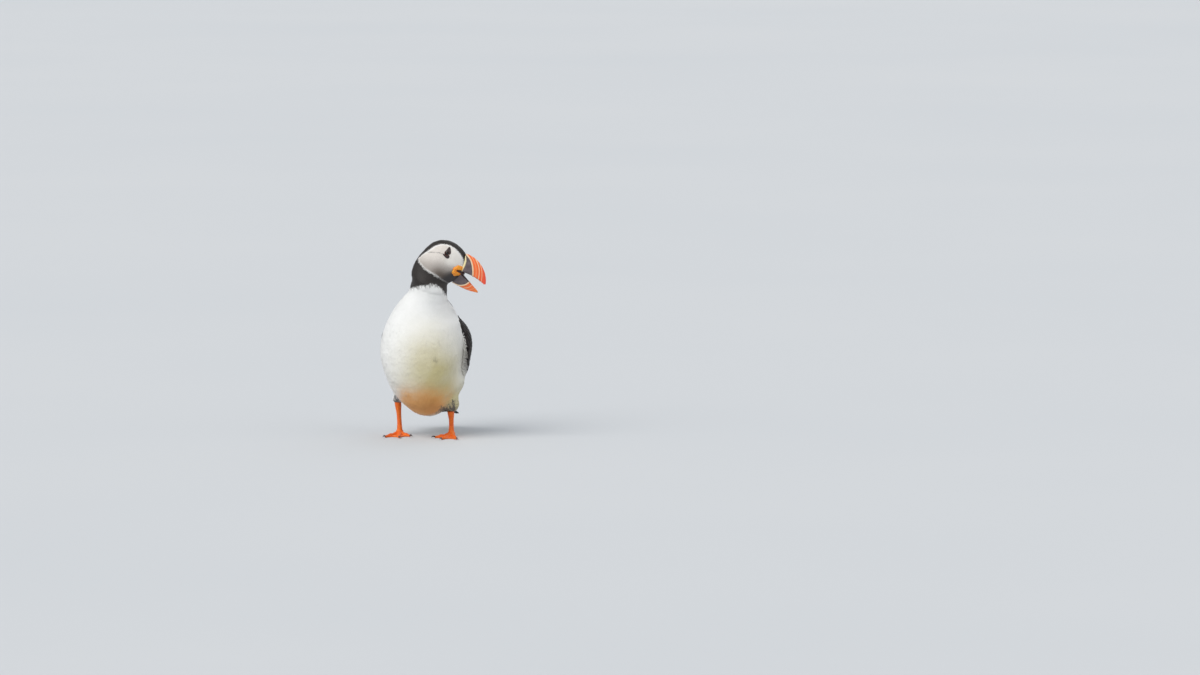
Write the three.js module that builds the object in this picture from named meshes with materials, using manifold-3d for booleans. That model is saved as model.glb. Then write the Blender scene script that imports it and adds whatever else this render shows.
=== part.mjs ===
// Atlantic puffin (Fratercula arctica), an adult in summer plumage, life size.
// It stands upright on both feet with its folded wings along its back, looks to its left and calls
// with an open bill.
//
// Millimetres, +Z up. The trunk faces -Y, so the bird's left side is at +X. The floor is z = 0 and the
// origin lies under the middle of the bird.
import * as THREE from 'three';
import { mergeVertices } from 'three/addons/utils/BufferGeometryUtils.js';
import Module from 'manifold-3d';

const wasm = await Module();
wasm.setup();

// ---------------------------------------------------------------------------------------------------
// Driving dimensions
// ---------------------------------------------------------------------------------------------------
const GAP = 0.3; // clear space between neighbouring pieces
const RING_SIDES = 30; // corners round a section of the body
const RINGS_PER_SPAN = 2; // rings between two of the body's named sections

// Head. Its own frame is x forward, y to the bird's left, z up, from a point between the cheeks.
const HEAD_AT = new THREE.Vector3(19.4, -14, 203.6);
const HEAD_TURN = 96; // degrees that the head is turned to the bird's left
const HEAD_NOD = 16; // degrees that the bill points below the level
const EYE = { x: 9.8, y: 11.2, z: 14.3, radius: 4.6 };

// Bill: an arc along the top, a nearly straight cutting edge, and a lower half that hangs open.
const CULMEN = { x: 28.2, z: -14.2, radius: 32.5, start: 87, end: 9 };
const BILL_HALF_WIDTH = 7.4;
const BILL_TIP_HALF_WIDTH = 1.3;
const CUTTING_EDGE = { startX: 32.6, startZ: -2.6, endX: 58.6, drop: 7.2 };
const LOWER_TOP = { startX: 31.4, startZ: -6.2, endX: 53.6, endZ: -19.6 };
const LOWER_KEEL = { startX: 24.2, startZ: -18.4, sag: 1.6, endX: 54.0, endZ: -21.2 };
const UPPER_PLATE_SPAN = [0.1, 0.34]; // of the way from the base of the upper half to its tip
const LOWER_PLATE_END = 0.42; // of the way from the base of the lower half to its tip

// Horny plates above and below the eye, as (x, z) corners, and the rosette at the corner of the mouth.
const EYE_PLATES = {
  upper: [[6, 16.2], [10, 21.4], [13.4, 17.4], [12.6, 15.8], [7.6, 15.4]],
  lower: [[4.8, 12.6], [12.8, 10.9], [13.2, 8.8], [11, 8.5], [4.6, 11]],
};
const ROSETTE = { x: 25.8, y: 9.2, z: -2.4, radii: [5.8, 4.4, 6.4] };

// Legs and feet
const LEG = {
  left: { x: 29, y: 9, top: 29.5, heading: -4, knee: -0.7 },
  right: { x: -33, y: 11, top: 38, heading: 14, knee: -2.2 },
};
const TOES = [
  { name: 'inner', length: 25, spread: -29, claw: 6.5 },
  { name: 'middle', length: 34, spread: 0, claw: 8 },
  { name: 'outer', length: 33, spread: 29, claw: 6 },
];
const TOE_RADIUS = 2.6;
const WEB_THICKNESS = 1.3;
const SOLE_DEPTH = 0.55; // how much of each round toe the floor flattens
const PALM_HEIGHT = 3.6;
const ANKLE_HEIGHT = 5.6;

// Tail
const TAIL = { length: 48, halfWidth: 14.5, root: 9, tip: 1.8, slope: 33, rootX: 0.5, rootY: 57, rootZ: 43 };

// ---------------------------------------------------------------------------------------------------
// Small helpers
// ---------------------------------------------------------------------------------------------------
const radians = THREE.MathUtils.degToRad;
const mix = THREE.MathUtils.lerp;
const smooth = THREE.MathUtils.smoothstep;

function power(value, exponent) {
  return Math.sign(value) * Math.abs(value) ** exponent;
}

// A closed mesh from rings of equally many points. An end is closed by a fan to its middle or to a tip.
function loft(rings, startTip = null, endTip = null) {
  const sides = rings[0].length;
  const points = rings.flat();
  const faces = [];
  for (let row = 0; row + 1 < rings.length; row += 1) {
    for (let side = 0; side < sides; side += 1) {
      const a = row * sides + side;
      const b = row * sides + ((side + 1) % sides);
      faces.push(a, b, b + sides, a, b + sides, a + sides);
    }
  }
  const last = (rings.length - 1) * sides;
  const startIndex = points.length;
  points.push(startTip ?? middleOf(rings[0]), endTip ?? middleOf(rings[rings.length - 1]));
  for (let side = 0; side < sides; side += 1) {
    const next = (side + 1) % sides;
    faces.push(startIndex, next, side, startIndex + 1, last + side, last + next);
  }
  return outward(points, faces);
}

function middleOf(ring) {
  const middle = new THREE.Vector3();
  ring.forEach((point) => middle.addScaledVector(point, 1 / ring.length));
  return middle;
}

// A closed leaf from two grids of points over the same edges: u runs along it and v across it.
function leaf(alongSteps, acrossSteps, face, underside) {
  const points = [];
  const faces = [];
  const columns = acrossSteps + 1;
  const layer = (alongSteps + 1) * columns;
  for (const surface of [face, underside]) {
    for (let i = 0; i <= alongSteps; i += 1) {
      for (let j = 0; j <= acrossSteps; j += 1) {
        points.push(surface(i / alongSteps, j / acrossSteps));
      }
    }
  }
  for (let i = 0; i < alongSteps; i += 1) {
    for (let j = 0; j < acrossSteps; j += 1) {
      const a = i * columns + j;
      const [b, c, d] = [a + 1, a + columns + 1, a + columns];
      faces.push(a, b, c, a, c, d);
      faces.push(layer + a, layer + c, layer + b, layer + a, layer + d, layer + c);
    }
  }
  const rim = [];
  for (let j = 0; j < acrossSteps; j += 1) rim.push(j);
  for (let i = 0; i < alongSteps; i += 1) rim.push(i * columns + acrossSteps);
  for (let j = acrossSteps; j > 0; j -= 1) rim.push(alongSteps * columns + j);
  for (let i = alongSteps; i > 0; i -= 1) rim.push(i * columns);
  rim.forEach((a, index) => {
    const b = rim[(index + 1) % rim.length];
    faces.push(b, a, layer + a, b, layer + a, layer + b);
  });
  return outward(points, faces);
}

// Geometry from points and triangles, turned so that its faces point out.
function outward(points, faces) {
  let volume = 0;
  for (let i = 0; i < faces.length; i += 3) {
    const [a, b, c] = [points[faces[i]], points[faces[i + 1]], points[faces[i + 2]]];
    volume += a.dot(b.clone().cross(c));
  }
  const order = volume < 0 ? faces.slice().reverse() : faces;
  const geometry = new THREE.BufferGeometry().setFromPoints(points);
  geometry.setIndex(order);
  return geometry;
}

function solidOf(geometry) {
  const bare = geometry.clone();
  bare.deleteAttribute('normal');
  bare.deleteAttribute('uv');
  const merged = mergeVertices(bare, 1e-4);
  const vertProperties = Float32Array.from(merged.attributes.position.array);
  const triVerts = Uint32Array.from(merged.index.array);
  return new wasm.Manifold(new wasm.Mesh({ numProp: 3, vertProperties, triVerts }));
}

function geometryOf(solid) {
  const mesh = solid.getMesh();
  const geometry = new THREE.BufferGeometry();
  geometry.setAttribute('position', new THREE.BufferAttribute(mesh.vertProperties, 3));
  geometry.setIndex(new THREE.BufferAttribute(mesh.triVerts, 1));
  return geometry;
}

// A block that fills one side of a plane, for cutting a solid in two.
function halfSpace(point, normal) {
  const size = 400;
  const box = new THREE.BoxGeometry(size, size, size);
  box.translate(0, 0, size / 2);
  const toNormal = new THREE.Quaternion().setFromUnitVectors(new THREE.Vector3(0, 0, 1), normal);
  box.applyQuaternion(toNormal);
  box.translate(point.x, point.y, point.z);
  return solidOf(box);
}

// Both sides of a cut with the gap between them: [the part behind the plane, the part ahead of it].
function split(solid, point, normal) {
  const ahead = point.clone().addScaledVector(normal, GAP / 2);
  const behind = point.clone().addScaledVector(normal, -GAP / 2);
  return [
    solid.intersect(halfSpace(behind, normal.clone().negate())),
    solid.intersect(halfSpace(ahead, normal)),
  ];
}

// ---------------------------------------------------------------------------------------------------
// Body: one smooth form from the rump to the crown
// ---------------------------------------------------------------------------------------------------
// Each section is an oval across the body. turn and lean point its forward axis, front, back and side
// are its half sizes, square above 2 makes it boxier and taper narrows it forwards.
const TRUNK_SECTIONS = [
  { x: 2, y: 63, z: 43, turn: 0, lean: 58, front: 12, back: 9, side: 15, square: 2, taper: 0 },
  { x: 6.2, y: 45, z: 49, turn: 0, lean: 49, front: 35, back: 19, side: 21, square: 1.6, taper: 0 },
  { x: 0.2, y: 23, z: 61, turn: 0, lean: 39, front: 53, back: 34, side: 41.7, square: 1.56, taper: 0 },
  { x: -1.7, y: 8, z: 80, turn: 0, lean: 30, front: 54, back: 42, side: 45.6, square: 2.02, taper: 0 },
  { x: -1.6, y: 0, z: 103, turn: 0, lean: 25, front: 52, back: 45, side: 50.4, square: 2, taper: 0 },
  { x: -1.2, y: -5, z: 126, turn: 0, lean: 22, front: 45, back: 42, side: 45.2, square: 2, taper: 0 },
  { x: 0.6, y: -8, z: 147, turn: 8, lean: 20, front: 33, back: 34, side: 35, square: 2, taper: 0 },
  { x: 5.7, y: -10, z: 163, turn: 40, lean: 19, front: 23.2, back: 22.6, side: 23, square: 2, taper: 0 },
];

// Sections of the neck and head: height in the head's frame, hindmost and foremost x, and half width.
const HEAD_SECTIONS = [
  { height: -28, rear: -22.8, fore: 18, side: 19.6, turn: 80, square: 2, taper: 0.05 },
  { height: -21, rear: -25.8, fore: 18.4, side: 18.2, turn: 92, square: 2, taper: 0.2 },
  { height: -14, rear: -25.8, fore: 28, side: 17.6, turn: HEAD_TURN, square: 2.1, taper: 0.5 },
  { height: -5, rear: -24.4, fore: 35, side: 17.4, turn: HEAD_TURN, square: 2.1, taper: 0.55 },
  { height: 5, rear: -20.4, fore: 35, side: 16.9, turn: HEAD_TURN, square: 2.1, taper: 0.55 },
  { height: 14, rear: -15.6, fore: 32, side: 15.3, turn: HEAD_TURN, square: 2.1, taper: 0.5 },
  { height: 21, rear: -9.8, fore: 25, side: 12.2, turn: HEAD_TURN, square: 2.1, taper: 0.3 },
  { height: 25.2, rear: -2.6, fore: 16.6, side: 7.6, turn: HEAD_TURN, square: 2, taper: 0.1 },
];
const CROWN = { x: 7, z: 27.2 };
const RUMP_END = new THREE.Vector3(2, 75, 37);

// Forward, left and up axes of a section or of the head.
function axesOf(turn, lean) {
  const [t, l] = [radians(turn), radians(lean)];
  const forward = new THREE.Vector3(
    Math.sin(t) * Math.cos(l),
    -Math.cos(t) * Math.cos(l),
    -Math.sin(l),
  );
  const left = new THREE.Vector3(Math.cos(t), Math.sin(t), 0);
  return { forward, left, up: forward.clone().cross(left) };
}

const headAxes = axesOf(HEAD_TURN, HEAD_NOD);
const headMatrix = new THREE.Matrix4()
  .makeBasis(headAxes.forward, headAxes.left, headAxes.up)
  .setPosition(HEAD_AT);

function inHead(x, y, z) {
  return new THREE.Vector3(x, y, z).applyMatrix4(headMatrix);
}

function bodySections() {
  const head = HEAD_SECTIONS.map((row) => {
    const centre = inHead((row.rear + row.fore) / 2, 0, row.height);
    const half = (row.fore - row.rear) / 2;
    return { ...row, ...{ x: centre.x, y: centre.y, z: centre.z }, lean: HEAD_NOD, front: half, back: half };
  });
  return [...TRUNK_SECTIONS, ...head];
}

const SIZES = ['x', 'y', 'z', 'turn', 'lean', 'front', 'back', 'side', 'square', 'taper'];

// The section at any place along the list, on a smooth curve through its neighbours.
function sectionAt(rows, place) {
  const index = Math.min(Math.floor(place), rows.length - 2);
  const t = place - index;
  const pick = (offset) => rows[THREE.MathUtils.clamp(index + offset, 0, rows.length - 1)];
  const result = {};
  for (const size of SIZES) {
    const [p0, p1, p2, p3] = [-1, 0, 1, 2].map((offset) => pick(offset)[size]);
    const slope = (p2 - p0) / 2;
    const nextSlope = (p3 - p1) / 2;
    const a = 2 * p1 - 2 * p2 + slope + nextSlope;
    const b = 3 * p2 - 3 * p1 - 2 * slope - nextSlope;
    result[size] = ((a * t + b) * t + slope) * t + p1;
  }
  return result;
}

function sectionRing(section, grow) {
  const { forward, left } = axesOf(section.turn, section.lean);
  const ring = [];
  for (let i = 0; i < RING_SIDES; i += 1) {
    const angle = (i / RING_SIDES) * 2 * Math.PI - radians(section.turn);
    const c = power(Math.cos(angle), 2 / section.square);
    const s = power(Math.sin(angle), 2 / section.square);
    const along = c * ((c > 0 ? section.front : section.back) + grow);
    const narrowing = 1 - section.taper * Math.max(0, c) ** 1.6;
    const across = s * (section.side * narrowing + grow);
    const centre = new THREE.Vector3(section.x, section.y, section.z);
    ring.push(centre.addScaledVector(forward, along).addScaledVector(left, across));
  }
  return ring;
}

function bodyGeometry(grow = 0) {
  const rows = bodySections();
  const steps = Math.round((rows.length - 1) * RINGS_PER_SPAN);
  const rings = [];
  for (let i = 0; i <= steps; i += 1) {
    rings.push(sectionRing(sectionAt(rows, (i / steps) * (rows.length - 1)), grow));
  }
  const rumpEnd = RUMP_END.clone().add(new THREE.Vector3(0, 0.8 * grow, -0.6 * grow));
  return loft(rings, rumpEnd, inHead(CROWN.x, 0, CROWN.z + grow));
}

const bodySolid = solidOf(bodyGeometry());
const bodyWithGap = solidOf(bodyGeometry(GAP * 1.3));

// The face ends at the base of the bill: all that lies ahead of this outline is bill or open mouth.
function faceCutter(back) {
  const outline = new THREE.Shape([
    new THREE.Vector2(24, 40),
    new THREE.Vector2(29.4 - back, 21),
    new THREE.Vector2(CUTTING_EDGE.startX - back, CUTTING_EDGE.startZ),
    new THREE.Vector2(LOWER_TOP.startX - back, LOWER_TOP.startZ),
    new THREE.Vector2(LOWER_KEEL.startX - back, LOWER_KEEL.startZ - 0.4),
    new THREE.Vector2(28, -26),
    new THREE.Vector2(90, -26),
    new THREE.Vector2(90, 40),
  ]);
  const prism = new THREE.ExtrudeGeometry(outline, { depth: 80, bevelEnabled: false });
  prism.translate(0, 0, -40);
  prism.rotateX(Math.PI / 2);
  return solidOf(prism.applyMatrix4(headMatrix));
}

function ball(x, y, z, radiusX, radiusY, radiusZ, segments = 12) {
  const sphere = new THREE.SphereGeometry(1, segments, Math.round(segments * 0.7));
  sphere.scale(radiusX, radiusY, radiusZ);
  sphere.translate(x, y, z);
  return solidOf(sphere.applyMatrix4(headMatrix));
}

// ---------------------------------------------------------------------------------------------------
// Bill
// ---------------------------------------------------------------------------------------------------
// w runs from the base of the bill (0) to its tip (1). At each w a section stands between a point on the
// cutting edge and one on the ridge or keel, and bows forwards between them.
function culmenPoint(w) {
  const angle = radians(mix(CULMEN.start, CULMEN.end, w ** 2 * 0.45 + w * 0.55 - 0.35 * w * (1 - w)));
  return new THREE.Vector2(
    CULMEN.x + CULMEN.radius * Math.cos(angle),
    CULMEN.z + CULMEN.radius * Math.sin(angle),
  );
}

function upperEdgePoint(w) {
  const x = mix(CUTTING_EDGE.startX, CUTTING_EDGE.endX, w);
  return new THREE.Vector2(x, CUTTING_EDGE.startZ - CUTTING_EDGE.drop * w ** 1.8);
}

function lowerEdgePoint(w) {
  const x = mix(LOWER_TOP.startX, LOWER_TOP.endX, w);
  return new THREE.Vector2(x, mix(LOWER_TOP.startZ, LOWER_TOP.endZ, w));
}

function keelPoint(w) {
  const reach = w ** 1.5;
  const x = mix(LOWER_KEEL.startX, LOWER_KEEL.endX, reach);
  const sag = LOWER_KEEL.sag * Math.sin(Math.PI * reach);
  return new THREE.Vector2(x, mix(LOWER_KEEL.startZ, LOWER_KEEL.endZ, reach) - sag);
}

// One closed ring round the bill at w. The mouth side between the two cutting edges is hollowed a little.
function billRing(w, edgePoint, ridgePoint, hollow, grow) {
  const edge = edgePoint(w);
  const ridge = ridgePoint(w);
  const rise = ridge.clone().sub(edge);
  const bow = 2.4 * (1 - w) * smooth(w, 0, UPPER_PLATE_SPAN[0] * 2);
  const halfWidth = mix(BILL_HALF_WIDTH, BILL_TIP_HALF_WIDTH, w ** 0.85);
  const sideSteps = 6;
  const side = [];
  for (let i = 0; i <= sideSteps; i += 1) {
    const q = (i / sideSteps) ** 0.8;
    const forwards = bow * Math.sin(Math.PI * q);
    const width = halfWidth * (1 - 0.66 * q ** 1.25) * (i === sideSteps ? 0.42 : 1);
    side.push([edge.x + rise.x * q + forwards, width + grow, edge.y + rise.y * q]);
  }
  const inner = [edge.x + rise.x * hollow, 0, edge.y + rise.y * hollow];
  const lip = [edge.x + rise.x * hollow * 0.15, halfWidth * 0.72, edge.y + rise.y * hollow * 0.15];
  const left = [lip, ...side];
  const right = left.map(([x, y, z]) => [x, -y, z]).reverse();
  return [inner, ...left, ...right].map(([x, y, z]) => inHead(x, y, z));
}

function billPiece(edgePoint, ridgePoint, hollow, from, to, rings, grow = 0) {
  const list = [];
  for (let i = 0; i <= rings; i += 1) {
    list.push(billRing(mix(from, to, i / rings), edgePoint, ridgePoint, hollow, grow));
  }
  return loft(list);
}

function billSolids() {
  const seam = 0.012; // the gap between two plates, as a share of the bill's length
  const [cereEnd, plateEnd] = UPPER_PLATE_SPAN;
  const upper = [upperEdgePoint, culmenPoint, 0.16];
  const lower = [lowerEdgePoint, keelPoint, 0.45];
  return {
    cere: solidOf(billPiece(...upper, 0.012, cereEnd, 2)),
    bill_upper_plate: solidOf(billPiece(...upper, cereEnd + seam, plateEnd, 4)),
    bill_upper_tip: solidOf(billPiece(...upper, plateEnd + seam, 1, 9)),
    bill_lower_plate: solidOf(billPiece(...lower, 0.012, LOWER_PLATE_END, 5)),
    bill_lower_tip: solidOf(billPiece(...lower, LOWER_PLATE_END + seam, 1, 6)),
  };
}

// The tongue lies in the hollow of the lower half, below its cutting edges.
function tongueSolid() {
  const rings = [];
  const steps = 5;
  for (let i = 0; i <= steps; i += 1) {
    const w = mix(0.04, 0.62, i / steps);
    const edge = lowerEdgePoint(w);
    const depth = keelPoint(w).sub(edge).multiplyScalar(0.21);
    const halfWidth = mix(2.6, 1.2, (i / steps) ** 2);
    const halfHeight = mix(1.15, 0.5, i / steps);
    const ring = [];
    for (let side = 0; side < 8; side += 1) {
      const angle = (side / 8) * 2 * Math.PI;
      const lift = Math.sin(angle) * halfHeight;
      ring.push(inHead(edge.x + depth.x, Math.cos(angle) * halfWidth, edge.y + depth.y + lift));
    }
    rings.push(ring);
  }
  return solidOf(loft(rings));
}

// ---------------------------------------------------------------------------------------------------
// Face: eyes, the horny plates round them, and the fleshy rosette at each corner of the mouth
// ---------------------------------------------------------------------------------------------------
const plateLimit = solidOf(bodyGeometry(1.05)); // how far the plates stand out

function plateSolid(corners, side) {
  const outline = new THREE.Shape(corners.map(([x, z]) => new THREE.Vector2(x, z)));
  const plate = new THREE.ExtrudeGeometry(outline, { depth: 6, bevelEnabled: false });
  plate.rotateX(Math.PI / 2);
  plate.translate(0, side > 0 ? 18 : -12, 0);
  return solidOf(plate.applyMatrix4(headMatrix));
}

function faceSolids(side, name) {
  const eyeWithGap = ball(EYE.x, side * EYE.y, EYE.z, ...Array(3).fill(EYE.radius + GAP));
  const trim = (solid) => solid.intersect(plateLimit).subtract(bodyWithGap).subtract(eyeWithGap);
  const rosette = ball(ROSETTE.x, side * ROSETTE.y, ROSETTE.z, ...ROSETTE.radii);
  return {
    [`eye_${name}`]: ball(EYE.x, side * EYE.y, EYE.z, ...Array(3).fill(EYE.radius)),
    [`eye_plate_upper_${name}`]: trim(plateSolid(EYE_PLATES.upper, side)),
    [`eye_plate_lower_${name}`]: trim(plateSolid(EYE_PLATES.lower, side)),
    [`rosette_${name}`]: rosette.subtract(bodyWithGap).subtract(faceCutter(GAP)),
  };
}

// ---------------------------------------------------------------------------------------------------
// Wings: folded along the sides and back, with their tips over the tail
// ---------------------------------------------------------------------------------------------------
// Sections of the space that the wings wrap round, from the shoulder to beyond the tail.
const WING_SECTIONS = [
  { x: 0, y: -5.4, z: 131.5, lean: 21 },
  { x: 0, y: -3, z: 118, lean: 23 },
  { x: 0, y: 3, z: 98, lean: 27 },
  { x: 1, y: 13, z: 76, lean: 33 },
  { x: 2, y: 33, z: 58, lean: 42 },
  { x: 2, y: 54, z: 44, lean: 50 },
  { x: 2, y: 77, z: 31, lean: 55 },
].map((row) => ({ turn: 0, front: 1, back: 1, side: 1, square: 2, taper: 0, ...row }));

// Angles round the body, from the middle of the breast (0) to the middle of the back (180).
const WING_FRONT_EDGE = [99, 83, 77, 88, 106, 132, 157];
const WING_BACK_EDGE = [122, 160, 173, 174, 173, 172, 171];
const WING_SET_BACK = { left: 5, right: 17 }; // degrees that flank feathers hide of each wing's front
const WING_PROUD = { edge: 1.6, middle: 7.4 }; // how far the wing stands out from the body
const WING_TIP_RADIUS = [30, 30, 28, 25, 22, 15.5, 9.5]; // where the blade leaves the body behind

function curveThrough(values, place) {
  const index = Math.min(Math.floor(place), values.length - 2);
  const pick = (offset) => values[THREE.MathUtils.clamp(index + offset, 0, values.length - 1)];
  const [p0, p1, p2, p3] = [-1, 0, 1, 2].map(pick);
  const t = place - index;
  const slope = (p2 - p0) / 2;
  const nextSlope = (p3 - p1) / 2;
  const a = 2 * p1 - 2 * p2 + slope + nextSlope;
  const b = 3 * p2 - 3 * p1 - 2 * slope - nextSlope;
  return ((a * t + b) * t + slope) * t + p1;
}

const bodyMesh = new THREE.Mesh(
  bodyGeometry(),
  new THREE.MeshBasicMaterial({ side: THREE.DoubleSide }),
);
const ray = new THREE.Raycaster();

// Distance from a point inside the body to its surface, and 0 where the line misses it.
function bodyRadius(from, direction) {
  ray.set(from, direction);
  const hits = ray.intersectObject(bodyMesh);
  return hits.length > 0 ? hits[hits.length - 1].distance : 0;
}

function wingPoint(side, u, v, depthShare) {
  const place = u * (WING_SECTIONS.length - 1);
  const section = sectionAt(WING_SECTIONS, place);
  const setBack = side > 0 ? WING_SET_BACK.left : WING_SET_BACK.right;
  const frontEdge = curveThrough(WING_FRONT_EDGE, place) + setBack * (1 - smooth(u, 0.3, 0.8));
  const backEdge = curveThrough(WING_BACK_EDGE, place);
  const angle = radians(mix(frontEdge, backEdge, v));
  const { forward, left } = axesOf(0, section.lean);
  const direction = forward.multiplyScalar(Math.cos(angle));
  direction.addScaledVector(left, side * Math.sin(angle));
  const centre = new THREE.Vector3(section.x, section.y, section.z);
  const bulge = Math.sin(Math.PI * v) ** 0.6 * smooth(u, 0, 0.3);
  const proud = mix(WING_PROUD.edge, WING_PROUD.middle, bulge);
  const overBody = bodyRadius(centre, direction) + proud;
  const blade = curveThrough(WING_TIP_RADIUS, place);
  const outer = Math.max(overBody, blade);
  const thickness = mix(8, 2.2, smooth(u, 0.55, 0.95));
  return centre.addScaledVector(direction, outer - thickness * depthShare);
}

function wingSolid(side) {
  const upper = (u, v) => wingPoint(side, u, v, 0);
  const under = (u, v) => wingPoint(side, u, v, 1);
  return solidOf(leaf(16, 7, upper, under)).subtract(bodyWithGap);
}

// ---------------------------------------------------------------------------------------------------
// Tail: a short rounded fan
// ---------------------------------------------------------------------------------------------------
function tailPoint(u, v, over) {
  const across = 2 * v - 1;
  const width = TAIL.halfWidth * (0.5 + 0.5 * smooth(u, 0, 0.75)) * (1 - 0.12 * u ** 6);
  const along = TAIL.length * u * (1 - 0.13 * across ** 2);
  const arch = 2.6 * across ** 2;
  const edge = 1 - 0.6 * Math.abs(across) ** 3;
  const thickness = mix(TAIL.root, TAIL.tip, u ** 0.7);
  const height = (over ? 0.5 : -0.5) * thickness * edge - arch;
  const slope = radians(TAIL.slope);
  return new THREE.Vector3(
    TAIL.rootX + width * across,
    TAIL.rootY + along * Math.cos(slope) + height * Math.sin(slope),
    TAIL.rootZ - along * Math.sin(slope) + height * Math.cos(slope),
  );
}

function tailSolid() {
  return solidOf(leaf(6, 6, (u, v) => tailPoint(u, v, true), (u, v) => tailPoint(u, v, false)));
}

// ---------------------------------------------------------------------------------------------------
// Legs and feet
// ---------------------------------------------------------------------------------------------------
function ovalRing(centre, along, across, sides, axisA, axisB) {
  const ring = [];
  for (let i = 0; i < sides; i += 1) {
    const angle = (i / sides) * 2 * Math.PI;
    const point = centre.clone().addScaledVector(axisA, Math.cos(angle) * along);
    ring.push(point.addScaledVector(axisB, Math.sin(angle) * across));
  }
  return ring;
}

// The feathered upper leg, from inside the flank down to where the bare leg comes out.
function thighGeometry(leg, grow = 0) {
  const heights = [
    { z: leg.top + 23, radius: 10.5, back: 3 },
    { z: leg.top + 16, radius: 11.6, back: 3.5 },
    { z: leg.top + 8, radius: 10, back: 2 },
    { z: leg.top + 3, radius: 7.2, back: 0.6 },
    { z: leg.top, radius: 4.8, back: 0 },
  ];
  const [axisX, axisY] = [new THREE.Vector3(1, 0, 0), new THREE.Vector3(0, 1, 0)];
  return loft(heights.map(({ z, radius, back }) => {
    const inwards = mix(1, 0.74, ((z - leg.top) / 23) ** 1.5);
    const bent = leg.knee * Math.max(0, 1 - (z - leg.top) / 12);
    const centre = new THREE.Vector3(leg.x * inwards + bent, leg.y + back, z - grow);
    const long = mix(1.1, 1.4, (z - leg.top) / 23);
    return ovalRing(centre, radius + grow, radius * long + grow, 14, axisX, axisY);
  }));
}

// The bare scaly leg, flattened from side to side, thicker at both joints.
function tarsusGeometry(leg) {
  const [top, bottom] = [leg.top - GAP, ANKLE_HEIGHT];
  const rings = [];
  const steps = 7;
  for (let i = 0; i <= steps; i += 1) {
    const t = i / steps;
    const thick = 2.9 + 1.4 * (1 - smooth(t, 0, 0.5)) + 0.7 * smooth(t, 0.75, 1);
    const x = leg.x + leg.knee * (1 - t);
    const centre = new THREE.Vector3(x, leg.y + 1.2 * Math.sin(Math.PI * t), mix(top, bottom, t));
    const [axisX, axisY] = footAxes(leg);
    rings.push(ovalRing(centre, thick * 0.92, thick * 1.18, 12, axisX, axisY));
  }
  return loft(rings);
}

// Across and along the foot, on the level.
function footAxes(leg) {
  const { forward, left } = axesOf(leg.heading, 0);
  return [left, forward];
}

function toeDirection(leg, toe, outwards) {
  return axesOf(leg.heading + toe.spread * outwards, 0);
}

function toeGeometry(leg, toe, outwards) {
  const { forward, left } = toeDirection(leg, toe, outwards);
  const up = new THREE.Vector3(0, 0, 1);
  const steps = 6;
  const rings = [];
  for (let i = 0; i <= steps; i += 1) {
    const t = i / steps;
    const knuckle = 0.28 * Math.cos(2 * Math.PI * 3 * t);
    const radius = TOE_RADIUS * (1 - 0.34 * t) + knuckle * (1 - 0.4 * t);
    const height = radius - SOLE_DEPTH + (PALM_HEIGHT - TOE_RADIUS) * (1 - smooth(t, 0, 0.3));
    const centre = new THREE.Vector3(leg.x, leg.y, height);
    centre.addScaledVector(forward, mix(-2.5, toe.length, t));
    const end = i === steps ? 0.6 : 1;
    rings.push(ovalRing(centre, radius * end, radius * end, 8, left, up));
  }
  return loft(rings);
}

// The web between two neighbouring toes, with a hollow front edge.
function webGeometry(leg, toeA, toeB, outwards) {
  const tipOf = (toe) => toeDirection(leg, toe, outwards).forward.multiplyScalar(toe.length * 0.93);
  const [tipA, tipB] = [tipOf(toeA), tipOf(toeB)];
  const heel = new THREE.Vector3(leg.x, leg.y, 0);
  const pointAt = (u, v, height) => {
    const reach = mix(0.12, 1, u) * (1 - 0.18 * u * Math.sin(Math.PI * v));
    const place = tipA.clone().lerp(tipB, v).multiplyScalar(reach);
    return heel.clone().add(place).add(new THREE.Vector3(0, 0, height));
  };
  return leaf(3, 4, (u, v) => pointAt(u, v, 0.25 + WEB_THICKNESS), (u, v) => pointAt(u, v, 0.25));
}

function footSolid(leg, outwards) {
  const palm = new THREE.SphereGeometry(1, 10, 7);
  palm.scale(4.8, 5.4, 4.6);
  palm.translate(leg.x, leg.y - 0.6, 2.6);
  const parts = [
    ...TOES.map((toe) => toeGeometry(leg, toe, outwards)),
    webGeometry(leg, TOES[0], TOES[1], outwards),
    webGeometry(leg, TOES[1], TOES[2], outwards),
    palm,
  ];
  const joined = parts.map(solidOf).reduce((all, piece) => all.add(piece));
  const floor = halfSpace(new THREE.Vector3(0, 0, 0), new THREE.Vector3(0, 0, 1));
  const underLeg = halfSpace(
    new THREE.Vector3(0, 0, ANKLE_HEIGHT - GAP),
    new THREE.Vector3(0, 0, -1),
  );
  return joined.intersect(floor).intersect(underLeg);
}

// A claw: a cone that curves down from the end of its toe and stops just above the floor.
function clawGeometry(leg, toe, outwards) {
  const { forward, left } = toeDirection(leg, toe, outwards);
  const up = new THREE.Vector3(0, 0, 1);
  const steps = 4;
  const rings = [];
  for (let i = 0; i < steps; i += 1) {
    const t = i / steps;
    const centre = new THREE.Vector3(leg.x, leg.y, 1.9 + 0.9 * Math.sin(Math.PI * t * 0.7) - 1.1 * t ** 2);
    centre.addScaledVector(forward, toe.length + GAP + toe.claw * t);
    rings.push(ovalRing(centre, 1.15 * (1 - 0.75 * t), 1.35 * (1 - 0.75 * t), 6, left, up));
  }
  const tip = new THREE.Vector3(leg.x, leg.y, 0.5);
  tip.addScaledVector(forward, toe.length + GAP + toe.claw);
  return loft(rings, null, tip);
}

// ---------------------------------------------------------------------------------------------------
// Materials
// ---------------------------------------------------------------------------------------------------
function material(color, roughness) {
  return new THREE.MeshStandardMaterial({ color, roughness, metalness: 0 });
}

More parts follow.
